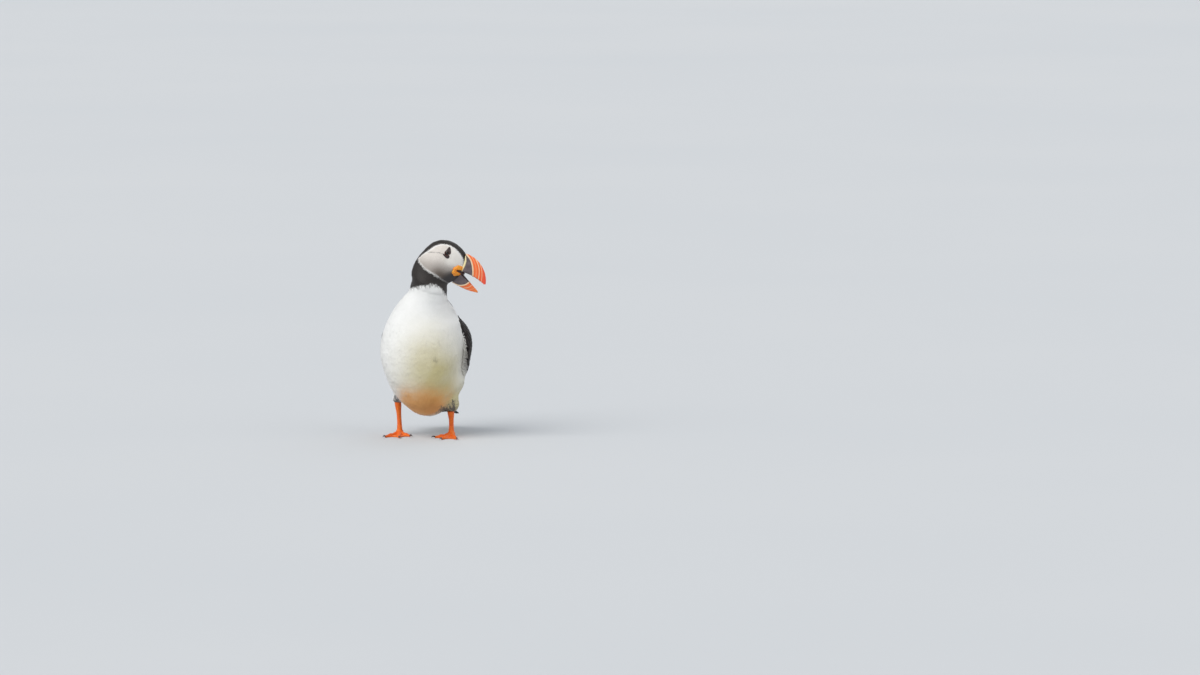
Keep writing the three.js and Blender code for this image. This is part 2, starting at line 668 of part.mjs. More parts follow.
const MATERIALS = {
  white: material(0xf1efe9, 0.85),
  black: material(0x1d1a19, 0.7),
  face: material(0xcfcac4, 0.85),
  orange: material(0xe8571f, 0.5),
  rosette: material(0xf29a12, 0.45),
  slate: material(0x4b4a55, 0.45),
  cream: material(0xf0dfa0, 0.5),
  claw: material(0x2b2523, 0.4),
  eye: material(0x2a1510, 0.15),
};

// ---------------------------------------------------------------------------------------------------
// Assembly
// ---------------------------------------------------------------------------------------------------
const puffin = new THREE.Group();

function addPiece(name, solid, look) {
  const geometry = solid.isBufferGeometry ? solid : geometryOf(solid);
  geometry.computeVertexNormals();
  const mesh = new THREE.Mesh(geometry, MATERIALS[look]);
  mesh.name = name;
  puffin.add(mesh);
}

function addBody() {
  const sockets = [1, -1].map((side) => {
    return ball(EYE.x, side * EYE.y, EYE.z, ...Array(3).fill(EYE.radius + GAP));
  });
  const flesh = bodySolid.subtract(faceCutter(GAP)).subtract(sockets[0]).subtract(sockets[1]);
  const up = headAxes.up;
  const [below, head] = split(flesh, inHead(0, 0, -17.5), up);
  const collar = axesOf(60, 14).up;
  const [lower, neck] = split(below, new THREE.Vector3(5, -12, 171), collar);
  const [trunk, rump] = split(lower, new THREE.Vector3(0, 44, 50), axesOf(0, 47).up.negate());
  addPiece('head', head, 'face');
  addPiece('neck', neck, 'black');
  addPiece('trunk', trunk, 'white');
  addPiece('rump', rump, 'white');
}

function addBill() {
  const pieces = billSolids();
  const looks = { cere: 'cream', bill_upper_plate: 'slate', bill_upper_tip: 'orange' };
  Object.assign(looks, { bill_lower_plate: 'slate', bill_lower_tip: 'orange' });
  for (const [name, solid] of Object.entries(pieces)) {
    addPiece(name, solid, looks[name]);
  }
  addPiece('tongue', tongueSolid(), 'rosette');
}

function addFace() {
  for (const [side, name] of [[1, 'left'], [-1, 'right']]) {
    const pieces = faceSolids(side, name);
    addPiece(`eye_${name}`, pieces[`eye_${name}`], 'eye');
    addPiece(`eye_plate_upper_${name}`, pieces[`eye_plate_upper_${name}`], 'slate');
    addPiece(`eye_plate_lower_${name}`, pieces[`eye_plate_lower_${name}`], 'slate');
    addPiece(`rosette_${name}`, pieces[`rosette_${name}`], 'rosette');
  }
}

function addWingsAndTail() {
  const cutAt = new THREE.Vector3(0, 32, 60);
  const cutAcross = axesOf(0, 40).up.negate();
  const tail = tailSolid().subtract(bodyWithGap);
  addPiece('tail', tail, 'black');
  for (const [side, name] of [[1, 'left'], [-1, 'right']]) {
    const [wing, primaries] = split(wingSolid(side), cutAt, cutAcross);
    addPiece(`wing_${name}`, wing, 'black');
    addPiece(`primaries_${name}`, primaries, 'black');
  }
}

function addLegs() {
  for (const [outwards, name] of [[1, 'left'], [-1, 'right']]) {
    const leg = LEG[name];
    addPiece(`thigh_${name}`, solidOf(thighGeometry(leg)).subtract(bodyWithGap), 'white');
    addPiece(`tarsus_${name}`, solidOf(tarsusGeometry(leg)).subtract(bodyWithGap), 'orange');
    addPiece(`foot_${name}`, footSolid(leg, outwards), 'orange');
    for (const toe of TOES) {
      addPiece(`claw_${toe.name}_${name}`, clawGeometry(leg, toe, outwards), 'claw');
    }
  }
}

addBody();
addBill();
addFace();
addWingsAndTail();
addLegs();

// The origin goes under the middle of the bird, on the floor.
const box = new THREE.Box3().setFromObject(puffin);
puffin.position.set(-(box.min.x + box.max.x) / 2, -(box.min.y + box.max.y) / 2, -box.min.z);

export default puffin;
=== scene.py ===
# %% [markdown]
# # An Atlantic puffin, dressed over its fixed frame
# The frame gives the solid of every part of the bird at life size, and nothing in it moves. This lesson
# gives it a skin, a coat of many small feathers, wing and tail feathers, a grooved bill, eyes and webbed
# feet. Each step says what the real piece is, how it could be made, and why this way was taken. Lengths
# below are in millimetres, and MM turns them into Blender's metres.

# %% The frame
import math

import bmesh
import bpy
import numpy as np
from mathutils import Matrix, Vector
from mathutils.bvhtree import BVHTree


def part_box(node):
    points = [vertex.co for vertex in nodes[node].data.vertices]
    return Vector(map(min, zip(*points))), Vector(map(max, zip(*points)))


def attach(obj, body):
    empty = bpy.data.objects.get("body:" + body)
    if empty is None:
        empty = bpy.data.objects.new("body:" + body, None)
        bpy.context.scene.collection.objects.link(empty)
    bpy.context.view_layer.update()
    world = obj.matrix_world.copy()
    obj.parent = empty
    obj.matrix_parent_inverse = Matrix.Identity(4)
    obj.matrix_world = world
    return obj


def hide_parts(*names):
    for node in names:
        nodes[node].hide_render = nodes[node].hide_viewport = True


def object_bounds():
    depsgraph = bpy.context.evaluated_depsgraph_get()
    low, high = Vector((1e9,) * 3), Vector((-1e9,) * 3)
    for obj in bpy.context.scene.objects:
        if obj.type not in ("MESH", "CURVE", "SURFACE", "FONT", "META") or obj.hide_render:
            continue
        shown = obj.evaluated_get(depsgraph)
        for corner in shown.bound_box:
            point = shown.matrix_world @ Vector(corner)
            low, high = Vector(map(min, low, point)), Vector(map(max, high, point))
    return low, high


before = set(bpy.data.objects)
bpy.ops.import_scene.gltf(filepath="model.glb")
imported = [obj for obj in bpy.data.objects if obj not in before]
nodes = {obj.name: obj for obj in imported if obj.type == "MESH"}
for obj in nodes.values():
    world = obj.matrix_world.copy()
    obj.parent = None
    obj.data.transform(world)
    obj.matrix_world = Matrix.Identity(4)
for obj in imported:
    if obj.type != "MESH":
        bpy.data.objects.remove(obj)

MM = 0.001
cad_low, cad_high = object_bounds()
print("frame:", len(nodes), "solids, box", [round(v / MM, 1) for v in cad_high - cad_low], "mm")

# %% [markdown]
# ## The view
# A bird that stands still is best shown with a long lens from far away, a little above its own height and
# turned towards its left side. It stands small and left of the middle, as an animal in a wide landscape.
# The camera is placed from the bird's own box, and turned to look past it, so that no lens shift is used.

# %% Camera
VIEW_TURN = math.radians(15)
VIEW_RISE = math.radians(6)
VIEW_DISTANCE = 8.0
FIELD_WIDTH = 1.38
LOOK_ASIDE = 0.185
LOOK_BELOW = 0.0026
SENSOR = 36.0


def direction(turn, rise):
    """The way from the bird to a viewer: turn 0 is straight before its breast, towards -Y."""
    level = math.cos(rise)
    return Vector((math.sin(turn) * level, -math.cos(turn) * level, math.sin(rise)))


def aim(piece, place, target):
    """Puts a camera or lamp at a place, looking at a target."""
    piece.location = place
    piece.rotation_euler = (place - target).to_track_quat("Z", "Y").to_euler()
    bpy.context.scene.collection.objects.link(piece)


middle = (cad_low + cad_high) / 2
towards_viewer = direction(VIEW_TURN, VIEW_RISE)
viewer_right = Vector((math.cos(VIEW_TURN), math.sin(VIEW_TURN), 0))
viewer_up = towards_viewer.cross(viewer_right)
camera_data = bpy.data.cameras.new("viewer")
camera_data.sensor_width = SENSOR
camera_data.lens = SENSOR * VIEW_DISTANCE / FIELD_WIDTH
camera_data.clip_end = 200
camera = bpy.data.objects.new("viewer", camera_data)
look_at = middle + viewer_right * LOOK_ASIDE - viewer_up * LOOK_BELOW
aim(camera, middle + towards_viewer * VIEW_DISTANCE, look_at)
bpy.context.scene.camera = camera
bpy.context.scene.view_settings.view_transform = "Standard"
print("camera", round(camera.location.z, 2), "m above the floor, lens", round(camera_data.lens), "mm")

# %% [markdown]
# ## Shader and geometry trees written as sums
# Node trees are easier to read as arithmetic. `Value` wraps one output of a node, and adding or
# multiplying two of them adds the Math node that does it. `Nodes` makes any other node from its type, its
# settings and what goes into its sockets. Both serve materials and Geometry Nodes alike.

# %% Node helpers
class Value:
    """One output of a node."""

    def __init__(self, tree, socket):
        self.tree = tree
        self.socket = socket

    def math(self, operation, *others):
        return self.tree.node("ShaderNodeMath", {"operation": operation}, [self, *others])

    def __add__(self, other):
        return self.math("ADD", other)

    def __sub__(self, other):
        return self.math("SUBTRACT", other)

    def __rsub__(self, other):
        return self.tree.node("ShaderNodeMath", {"operation": "SUBTRACT"}, [other, self])

    def __mul__(self, other):
        return self.math("MULTIPLY", other)

    def __pow__(self, other):
        return self.math("POWER", other)

    __radd__ = __add__
    __rmul__ = __mul__

    def step(self, low, high):
        """A soft step: 0 below low, 1 above high."""
        settings = {"interpolation_type": "SMOOTHSTEP"}
        return self.tree.node("ShaderNodeMapRange", settings, {0: self, 1: low, 2: high})


class Nodes:
    """A node tree that is filled by calls to node()."""

    def __init__(self, tree):
        self.tree = tree

    def node(self, kind, settings=None, inputs=None, output=0):
        made = self.tree.nodes.new(kind)
        for name, setting in (settings or {}).items():
            setattr(made, name, setting)
        pairs = enumerate(inputs) if isinstance(inputs, list) else (inputs or {}).items()
        for name, given in pairs:
            self.feed(made.inputs[name], given)
        return Value(self, made.outputs[output])

    def feed(self, socket, given):
        if isinstance(given, Value):
            self.tree.links.new(given.socket, socket)
        else:
            socket.default_value = given


class Finish(Nodes):
    """A material whose tree starts from one Principled shader."""

    def __init__(self, name, **constants):
        self.material = bpy.data.materials.new(name)
        self.material.use_nodes = True
        super().__init__(self.material.node_tree)
        self.shader = self.tree.nodes["Principled BSDF"]
        self.set(**constants)

    def set(self, **sockets):
        """set(base_color=..., roughness=...) fills the shader's sockets by their names."""
        for name, given in sockets.items():
            self.feed(self.shader.inputs[name.replace("_", " ").title().replace("Ior", "IOR")], given)

    def attribute(self, name):
        return self.node("ShaderNodeAttribute", {"attribute_name": name}, output="Fac")

    def spot(self, size, stretch=(1, 1, 1)):
        """The place on the piece, counted in steps of a size in millimetres."""
        place = self.node("ShaderNodeTexCoord", output="Object")
        scale = [1 / (size * MM * s) for s in stretch]
        return self.node("ShaderNodeVectorMath", {"operation": "MULTIPLY"}, [place, scale])

    def noise(self, size, detail=3.0, stretch=(1, 1, 1)):
        """Cloudy noise with spots of about a size, stretched along an axis."""
        sockets = {"Vector": self.spot(size, stretch), "Scale": 1.0, "Detail": detail}
        return self.node("ShaderNodeTexNoise", None, sockets)

    def cells(self, size, feature="F1"):
        sockets = {"Vector": self.spot(size), "Scale": 1.0}
        return self.node("ShaderNodeTexVoronoi", {"feature": feature}, sockets, "Distance")

    def mix(self, share, first, second):
        """A colour between two colours."""
        return self.node("ShaderNodeMix", {"data_type": "RGBA"}, {0: share, 6: first, 7: second}, 2)

    def bump(self, height, depth, strength=1.0):
        """Relief of a depth in millimetres."""
        sockets = {"Height": height, "Distance": depth * MM, "Strength": strength}
        return self.node("ShaderNodeBump", None, sockets, "Normal")


def rgb(red, green, blue):
    return (red, green, blue, 1.0)


def mottled(name, size, detail, first, second, relief, strength, stretch=(1, 1, 1), **constants):
    """A finish whose colour and relief follow one cloudy noise."""
    finish = Finish(name, **constants)
    cloud = finish.noise(size, detail, stretch)
    finish.set(base_color=finish.mix(cloud, rgb(*first), rgb(*second)))
    finish.set(normal=finish.bump(cloud, relief, strength))
    return finish


# %% Mesh helpers
def raw_mesh(name, points, faces):
    """A mesh from points in metres and faces."""
    mesh = bpy.data.meshes.new(name)
    mesh.from_pydata([tuple(p) for p in points], [], [tuple(f) for f in faces])
    return mesh


def turned_outwards(mesh):
    """The same closed mesh, with every face turned outwards."""
    shell = bmesh.new()
    shell.from_mesh(mesh)
    bmesh.ops.recalc_face_normals(shell, faces=shell.faces)
    shell.to_mesh(mesh)
    shell.free()
    return mesh


def reshaped(mesh, points):
    """The same mesh with its points at new places, in metres."""
    mesh.vertices.foreach_set("co", points.ravel())
    mesh.update()
    return mesh


def mesh_piece(name, mesh, finish, smooth=True):
    mesh.name = name
    mesh.materials.clear()
    mesh.materials.append(finish.material)
    mesh.polygons.foreach_set("use_smooth", [smooth] * len(mesh.polygons))
    piece = bpy.data.objects.new(name, mesh)
    bpy.context.scene.collection.objects.link(piece)
    return piece


def point_array(mesh, field="co"):
    """The places or the normals of a mesh's points."""
    values = np.zeros(len(mesh.vertices) * 3, np.float32)
    mesh.vertices.foreach_get(field, values)
    return values.reshape(-1, 3).astype(float)


def whole_numbers(items, field, each=1):
    values = np.zeros(len(items) * each, int)
    items.foreach_get(field, values)
    return values


def store(mesh, name, values, kind="FLOAT", domain="POINT"):
    field = "vector" if kind == "FLOAT_VECTOR" else "value"
    mesh.attributes.new(name, kind, domain).data.foreach_set(field, np.ravel(values))


def step(x, low, high):
    t = np.clip((x - low) / (high - low), 0, 1)
    return t * t * (3 - 2 * t)


def lerp(a, b, t):
    return a + (b - a) * t


def unit(vectors):
    return vectors / np.linalg.norm(vectors, axis=-1)[..., None]


def curve(knots, x):
    """A smooth curve through a few (x, y) knots, level beyond its ends."""
    kx, ky = np.array(knots, float).T
    slopes = np.gradient(ky, kx)
    x = np.clip(x, kx[0], kx[-1])
    i = np.clip(np.searchsorted(kx, x) - 1, 0, len(kx) - 2)
    h = kx[i + 1] - kx[i]
    t = (x - kx[i]) / h
    rise = (3 - 2 * t) * t * t
    bend = h * t * (1 - t) * ((1 - t) * slopes[i] - t * slopes[i + 1])
    return ky[i] * (1 - rise) + ky[i + 1] * rise + bend


def through(knots, places):
    """A smooth line through knots of two or three axes, at places counted in knots."""
    knots = np.array(knots, float)
    return np.array([curve(list(enumerate(axis)), places) for axis in knots.T]).T


def evaluated(piece):
    """The mesh of a piece with its modifiers applied."""
    graph = bpy.context.evaluated_depsgraph_get()
    return bpy.data.meshes.new_from_object(piece.evaluated_get(graph))


def with_modifiers(name, mesh, *modifiers):
    """A mesh changed by modifiers, each given as (type, settings)."""
    piece = bpy.data.objects.new(name, mesh)
    bpy.context.scene.collection.objects.link(piece)
    for kind, settings in modifiers:
        modifier = piece.modifiers.new(kind.lower(), kind)
        for key, setting in settings.items():
            setattr(modifier, key, setting)
    result = evaluated(piece)
    bpy.data.objects.remove(piece)
    return result


def one_skin(name, mesh, voxel, rounds):
    """A mesh remade as one even surface, with a grid in millimetres, and smoothed a few times."""
    mesh = with_modifiers(name, mesh, ("REMESH", {"mode": "VOXEL", "voxel_size": voxel * MM}))
    return with_modifiers(name, mesh, ("SMOOTH", {"factor": 0.5, "iterations": rounds}))


def done(piece, slot, *replaced):
    """The piece rides on the body and stands for CAD nodes; the slot is not used."""
    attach(piece, "root")
    if replaced:
        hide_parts(*replaced)
    piece.data.calc_loop_triangles()
    print(f"{piece.name}: {len(piece.data.loop_triangles)} triangles")
    return piece


# %% [markdown]
# ## Floor and light
# A bird on a cliff stands under a bright, cloudy sky: one broad soft light from the front, and weaker ones
# from the side that the bill points to, from behind and from the whole sky. A pale floor far wider than
# the view gives the same calm ground from every side. The lamps are wide suns, because near lamps would
# leave bright pools on the floor, and small ones would draw hard shadows on the feathers.

# %% Floor, sky and lamps
FLOOR_REACH = 60.0
floor_finish = Finish("pale_floor", roughness=0.9)
floor_cloud = floor_finish.noise(900, 2.0)
floor_finish.set(base_color=floor_finish.mix(floor_cloud, rgb(0.56, 0.58, 0.6), rgb(0.6, 0.61, 0.62)))
around = np.linspace(0, 2 * math.pi, 96)[:-1]
rim = [(FLOOR_REACH * math.cos(a), FLOOR_REACH * math.sin(a), 0) for a in around]
mesh_piece("floor", raw_mesh("floor", rim, [range(len(rim))]), floor_finish, smooth=False)

world = bpy.data.worlds.new("cloudy_sky")
world.use_nodes = True
sky = world.node_tree.nodes["Background"].inputs
sky["Color"].default_value = rgb(0.83, 0.88, 0.95)
sky["Strength"].default_value = 0.52
bpy.context.scene.world = world


def lamp(name, turn, rise, size, power, colour):
    """A soft lamp so far away that the light is even over the whole floor."""
    data = bpy.data.lights.new(name, "SUN")
    data.angle = math.radians(size)
    data.energy = power
    data.color = colour
    piece = bpy.data.objects.new(name, data)
    aim(piece, middle + direction(math.radians(turn), math.radians(rise)) * 4, middle)


lamp("key_light", -34, 46, 45, 2.2, (1.0, 0.985, 0.955))
lamp("side_light", 78, 30, 60, 0.5, (1.0, 0.98, 0.95))
lamp("back_light", 160, 40, 60, 0.5, (0.96, 0.98, 1.0))
print("three soft lamps and a pale sky")

# %% [markdown]
# ## The head's own axes
# Everything on the head is easiest to place in the head's own frame: x forwards, y to the bird's left and
# z up. The two eyes give the sideways axis and the height, and the bill points a little below the level.

# %% Head frame
HEAD_NOD = math.radians(16)
EYE = {"x": 9.8, "z": 14.3, "radius": 4.6, "opening": 2.7}


def box_middle(name):
    low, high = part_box(name)
    return (low + high) / 2


left_eye, right_eye = box_middle("eye_left"), box_middle("eye_right")
eye_gap = left_eye - right_eye
EYE["y"] = eye_gap.length / 2 / MM
head_left = eye_gap.normalized()
level_forward = Vector((head_left.y, -head_left.x, 0)).normalized()
head_forward = level_forward * math.cos(HEAD_NOD) - Vector((0, 0, math.sin(HEAD_NOD)))
head_up = head_forward.cross(head_left)
head_origin = np.array((left_eye + right_eye) / 2 - (head_forward * EYE["x"] + head_up * EYE["z"]) * MM)
HEAD_AXES = np.array([head_forward, head_left, head_up])


def to_head(points):
    """Points in metres of the frame, as millimetres in the head's own axes."""
    return (np.asarray(points) - head_origin) @ HEAD_AXES.T / MM


def from_head(points):
    return np.asarray(points, float) @ HEAD_AXES * MM + head_origin


print("eyes", round(2 * EYE["y"], 1), "mm between their middles, head turned to", level_forward[:])

# %% [markdown]
# ## A line through the body
# Feathers point away from the bill, over the head, down the neck and along the body to the tail. A line
# through the middle of the body, from the rump up to the crown, gives every point two numbers: how far up
# the line it lies, and its angle round the line from the middle of the breast. They steer the feathers,
# hold the borders of black and white, and unroll the skin flat for its colour map.

# %% Middle line
def inside(node, along_x, along_y, along_z):
    """A point at three shares of a node's box."""
    low, high = (np.array(corner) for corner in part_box(node))
    return lerp(low, high, np.array([along_x, along_y, along_z]))


line_knots = [
    inside("rump", 0.49, 0.8, 0.42),
    inside("rump", 0.5, 0.42, 0.66),
    inside("trunk", 0.51, 0.6, 0.33),
    inside("trunk", 0.5, 0.47, 0.52),
    inside("trunk", 0.5, 0.42, 0.68),
    inside("trunk", 0.51, 0.38, 0.82),
    inside("neck", 0.4, 0.55, 0.0),
    inside("neck", 0.45, 0.5, 0.8),
    from_head([4, 0, 0]),
    from_head([7, 0, 12]),
]
LINE_STEPS = 140
BREASTWARDS = np.array([0, -1.0, 0])
line = through(line_knots, np.linspace(0, len(line_knots) - 1, LINE_STEPS))
line_along = unit(np.gradient(line, axis=0))
line_length = np.concatenate([[0], np.cumsum(np.linalg.norm(np.diff(line, axis=0), axis=1))])
line_front = unit(BREASTWARDS - line_along * (line_along @ BREASTWARDS)[:, None])
line_side = np.cross(line_along, line_front)


def around_body(points):
    """For each point: its place along the middle line in mm, its angle round it, and the line's index."""
    points = np.asarray(points)
    nearest = np.zeros(len(points), int)
    for start in range(0, len(points), 4000):
        part = points[start:start + 4000, None, :] - line[None, :, :]
        nearest[start:start + 4000] = np.argmin((part ** 2).sum(axis=2), axis=1)
    offset = points - line[nearest]
    ahead, forwards, sideways = (
        (offset * axis[nearest]).sum(axis=1) for axis in (line_along, line_front, line_side))
    at_end = (nearest == 0) | (nearest == LINE_STEPS - 1)
    past_end = np.where(at_end, np.arctan2(ahead, np.hypot(forwards, sideways)) * 0.03, ahead)
    return (line_length[nearest] + past_end) / MM, np.arctan2(sideways, forwards), nearest


print("middle line", round(line_length[-1] / MM), "mm long")

# %% [markdown]
# ## Markings
# A puffin is black above and white below, with a black collar, and a pale grey face on each side that
# narrows to a point behind. Skin and feathers must carry the same markings, so each is a function of a
# place on the body, and no picture is used. The face is bounded by the half width of the black cap over
# the head, and by a curve along the jaw. Borders on the body follow height and angle.

# %% Marking functions
CAP_HALF_WIDTH = [(0, 2.6), (32, 5.4), (55, 7.6), (80, 9), (112, 9.9), (150, 9.6), (172, 7.2), (190, 4.6)]
JAW_LINE = [(-26, 5.5), (-20.8, -1.8), (-13.8, -7.4), (-8.3, -10.2), (0.5, -12.4), (7.5, -14.2),
            (13.7, -16.4), (20, -18.6), (26, -21)]
MANTLE_ANGLE = [(25, 122), (48, 124), (64, 136), (88, 138), (119, 136), (140, 136), (152, 133), (162, 124),
                (170, 112)]
COLLAR_LINE = [(-180, 158), (-120, 170), (-75, 174.5), (-48, 176), (-18, 178.3), (5, 180), (22, 180.4),
               (42, 178.4), (58, 174.8), (76, 169.5), (92, 165.5), (108, 161.5), (130, 153), (180, 150)]
FLECKS = [(30, 98, 1.5, 3.2, 1.0), (20, 116, 1.2, 2.0, 0.5), (39, 117, 1.0, 2.0, 0.45),
          (12, 91, 1.0, 1.6, 0.3)]
FACE_BORDER = 0.35
BODY_BORDER = 0.7
BEYOND_CAP = 9.0
BACK_RADIUS = 42


def bump_of(offset, reach):
    """A soft bump: 1 in its middle, fading out over a reach."""
    return np.exp(-(offset / reach) ** 2)


def face_marks(head):
    """Shares of the markings, the painted shade and the painted light that lie on the face, at points in the
    head's own axes.
    """
    x, y, z = head.T
    over_head = np.degrees(np.arctan2(z, x - 6)) % 360
    over_head = np.where(over_head > 300, over_head - 360, over_head)
    below_cap = np.abs(y) - curve(CAP_HALF_WIDTH, over_head)
    below_cap = np.where((over_head < 0) | (over_head > 200), BEYOND_CAP, below_cap)
    inside_face = np.minimum(below_cap, z - curve(JAW_LINE, x))
    face = step(inside_face, -FACE_BORDER, FACE_BORDER) * step(z, -27, -24)
    below_cheek = 0.75 * (x - 8.8) - 0.66 * (z + 15.7)
    return {
        "face": face,
        "rim": face * (1 - step(inside_face, 0.5, 2.0)) * (1 - step(x, 6, 16) * (1 - step(z, 0, 8))),
        "dusk": step(below_cheek, -2.5, 5) * (1 - step(z, -6, -1)) * face * 0.95,
        # painted shade, darker towards the lower face and the jaw
        "jowl": step(-z - 0.15 * np.maximum(x - 5, 0), -10, 12) * (0.6 + 0.4 * step(x, -6, 10)) * face,
        # painted light on the front of the face, towards the bill
        "lore": step(x, 6, 18) * step(z, -2, 6) * face,
    }


def markings(points):
    """Shares from 0 to 1 of each marking, and of the painted shade and light mixed with them, at points of
    the frame.
    """
    head = to_head(points)
    marks = face_marks(head)
    x, y, height = points.T / MM
    turn = np.degrees(around_body(points)[1])
    collar = height - curve(COLLAR_LINE, turn)
    back = (np.abs(turn) - curve(MANTLE_ANGLE, height)) * math.radians(1) * BACK_RADIUS
    black = step(np.maximum(collar, back), -BODY_BORDER, BODY_BORDER) * (1 - marks["face"])
    marks["black"] = np.where(head[:, 2] > -20, 1 - marks["face"], black)
    # painted shade with greenish reflected light, low on the belly towards one side; the plumage there is
    # white
    marks["grassy"] = (1 - step(height, 78, 158)) * bump_of(turn - 28, 44)
    # brown on the flanks beside the wings: partly a real tint, partly painted shade
    marks["smoke"] = step(np.abs(turn), 62, 92) * bump_of(height - 92, 18)
    # warm tint of the lower belly: partly a real stain, partly painted reflected light
    marks["buff"] = bump_of(x + 6.5, 32) * bump_of(height - 44, 22) * step(-y, 15, 40)
    marks["fleck"] = np.zeros(len(points))
    for at_turn, at_height, wide, high, strength in FLECKS:
        spot = strength * bump_of((turn - at_turn) * 0.85, wide) * bump_of(height - at_height, high)
        marks["fleck"] = np.maximum(marks["fleck"], spot)
    return marks


print("markings:", ", ".join(markings(np.array([from_head([0, 15, 5])])).keys()))

# %% [markdown]
# ## The skin
# Under the coat lies one skin from bill to rump. The frame's flesh is divided into solids with thin cuts
# between them, so their copies are swollen until they overlap, remeshed into one surface and smoothed.
# That smooth surface is where the feather tips end. Below the collar it is evened out, so that the breast
# runs up to the neck without a waist. The skin proper lies below it by the depth of the coat, which is
# under a millimetre and least on the face. A fold runs back from each eye, and a low rim, the lids,
# stands round the eye's opening.

# %% Outer surface of the coat
FLESH = ["head", "neck", "trunk", "rump", "thigh_left", "thigh_right"]
SWELL = 0.45


def merged(names, grow=0.0):
    """One mesh of several CAD nodes, each merged, and grown outwards by some millimetres."""
    whole = bmesh.new()
    for name in names:
        part = bmesh.new()
        part.from_mesh(nodes[name].data)
        bmesh.ops.remove_doubles(part, verts=part.verts, dist=0.00001)
        part.normal_update()
        for vert, normal in [(v, v.normal.copy()) for v in part.verts]:
            vert.co += normal * grow * MM
        solid = bpy.data.meshes.new("part")
        part.to_mesh(solid)
        whole.from_mesh(solid)
        part.free()
    mesh = bpy.data.meshes.new("merged")
    whole.to_mesh(mesh)
    whole.free()
    return mesh


surface = one_skin("flesh", merged(FLESH + ["eye_left", "eye_right"], SWELL), 1.0, 5)


def smoothed(mesh, values, rounds):
    """Numbers or vectors on the points, spread to their neighbours a few times."""
    a, b = whole_numbers(mesh.edges, "vertices", 2).reshape(-1, 2).T
    count = len(values)
    weight = np.bincount(a, minlength=count) + np.bincount(b, minlength=count) + 1
    columns = np.array(values, float).reshape(count, -1).T
    for _ in range(rounds):
        columns = [(c + np.bincount(a, c[b], count) + np.bincount(b, c[a], count)) / weight for c in columns]
    return np.array(columns).T.reshape(np.shape(values))


def between_cells(table, rows, columns):
    """Values at places between the cells of a table."""
    rows = np.clip(rows, 0, table.shape[0] - 1.001)
    columns = np.clip(columns, 0, table.shape[1] - 1.001)
    row, column = rows.astype(int), columns.astype(int)
    down, across = rows - row, columns - column
    upper = lerp(table[row, column], table[row, column + 1], across)
    lower = lerp(table[row + 1, column], table[row + 1, column + 1], across)
    return lerp(upper, lower, down)


TURN_CELLS = np.arange(-140, 161, 10)
HEIGHT_CELLS = np.arange(116, 203, 2)
EVEN_REACH = 12


def evening_out(points):
    """How far each point of the front goes out, in mm, for an even run from the breast to the collar."""
    _, turn, nearest = around_body(points)
    turn = np.degrees(turn)
    height = points[:, 2] / MM
    radius = np.linalg.norm(points - line[nearest], axis=1) / MM
    cells = [TURN_CELLS, HEIGHT_CELLS]
    counts = np.histogram2d(turn, height, cells)[0]
    radii = np.histogram2d(turn, height, cells, weights=radius)[0] / np.maximum(counts, 1)
    share = bump_of(HEIGHT_CELLS[:-1, None] - HEIGHT_CELLS[:-1], EVEN_REACH)
    even = (radii @ share) / ((counts > 0) @ share)
    place = [(value - steps[0]) / (steps[1] - steps[0]) - 0.5 for value, steps in zip((turn, height), cells)]
    change = between_cells((even - radii) * (counts > 0), *place)
    change *= step(height, 134, 148) * (1 - step(height, 174, 186)) * (1 - step(np.abs(turn - 5), 88, 115))
    return smoothed(surface, change, 14)


CALM_ROUNDS = 110
HOLLOW_ROUNDS = 90
NORMAL_ROUNDS = 30
rough_points = point_array(surface)
on_trunk = 1 - step(to_head(rough_points)[:, 2], -58, -34)
on_trunk *= 1 - step(rough_points[:, 1] / MM, 14, 38)
calm_points = smoothed(surface, rough_points, CALM_ROUNDS)
calm_normals = unit(smoothed(surface, point_array(surface, "normal"), NORMAL_ROUNDS))
sunk = ((rough_points - calm_points) * calm_normals).sum(axis=1)
calm_points += calm_normals * smoothed(surface, sunk, HOLLOW_ROUNDS)[:, None]
surface_points = lerp(rough_points, calm_points, on_trunk[:, None])
surface_points += calm_normals * evening_out(surface_points)[:, None] * MM
reshaped(surface, surface_points)
rough_normals = smoothed(surface, point_array(surface, "normal"), 5)
even_normals = unit(smoothed(surface, rough_normals, NORMAL_ROUNDS))
surface_normals = unit(lerp(unit(rough_normals), even_normals, on_trunk[:, None]))
surface_head = to_head(surface_points)
print("outer surface:", len(surface.polygons), "faces")

# %% Depth of the coat, folds and lids
COAT_DEPTH = {"trunk": 0.75, "neck": 0.5, "head": 0.45, "face": 0.38}
CREASE = [(-15, 8.2), (-10.7, 9.4), (-5.8, 10.8), (-1.6, 11.6), (3.2, 12.4), (6.5, 11.9)]
FOLD_HALF_WIDTH = 0.75
FOLD_DEPTH = 0.7
LID_HEIGHT = 0.45
SOCKET_DEPTH = 2.6


def distance_from_eye(head):
    return np.hypot(head[:, 0] - EYE["x"], head[:, 2] - EYE["z"])


def fold_depth(head):
    """The fold behind the eye, from 0 beside it to 1 along its bottom."""
    x, _, z = head.T
    along = step(x, -16, -9) * (1 - step(x, 5, 6.5))
    return along * bump_of(z - curve(CREASE, x), FOLD_HALF_WIDTH)


def coat_depth(head, face):
    depth = lerp(COAT_DEPTH["trunk"], COAT_DEPTH["neck"], step(head[:, 2], -42, -26))
    up_head = step(head[:, 2], -22, -10)
    near_bill = step(head[:, 0], 20, 30) * up_head
    depth = lerp(depth, COAT_DEPTH["head"], up_head)
    return lerp(depth, COAT_DEPTH["face"], np.maximum(face * 0.8, near_bill))


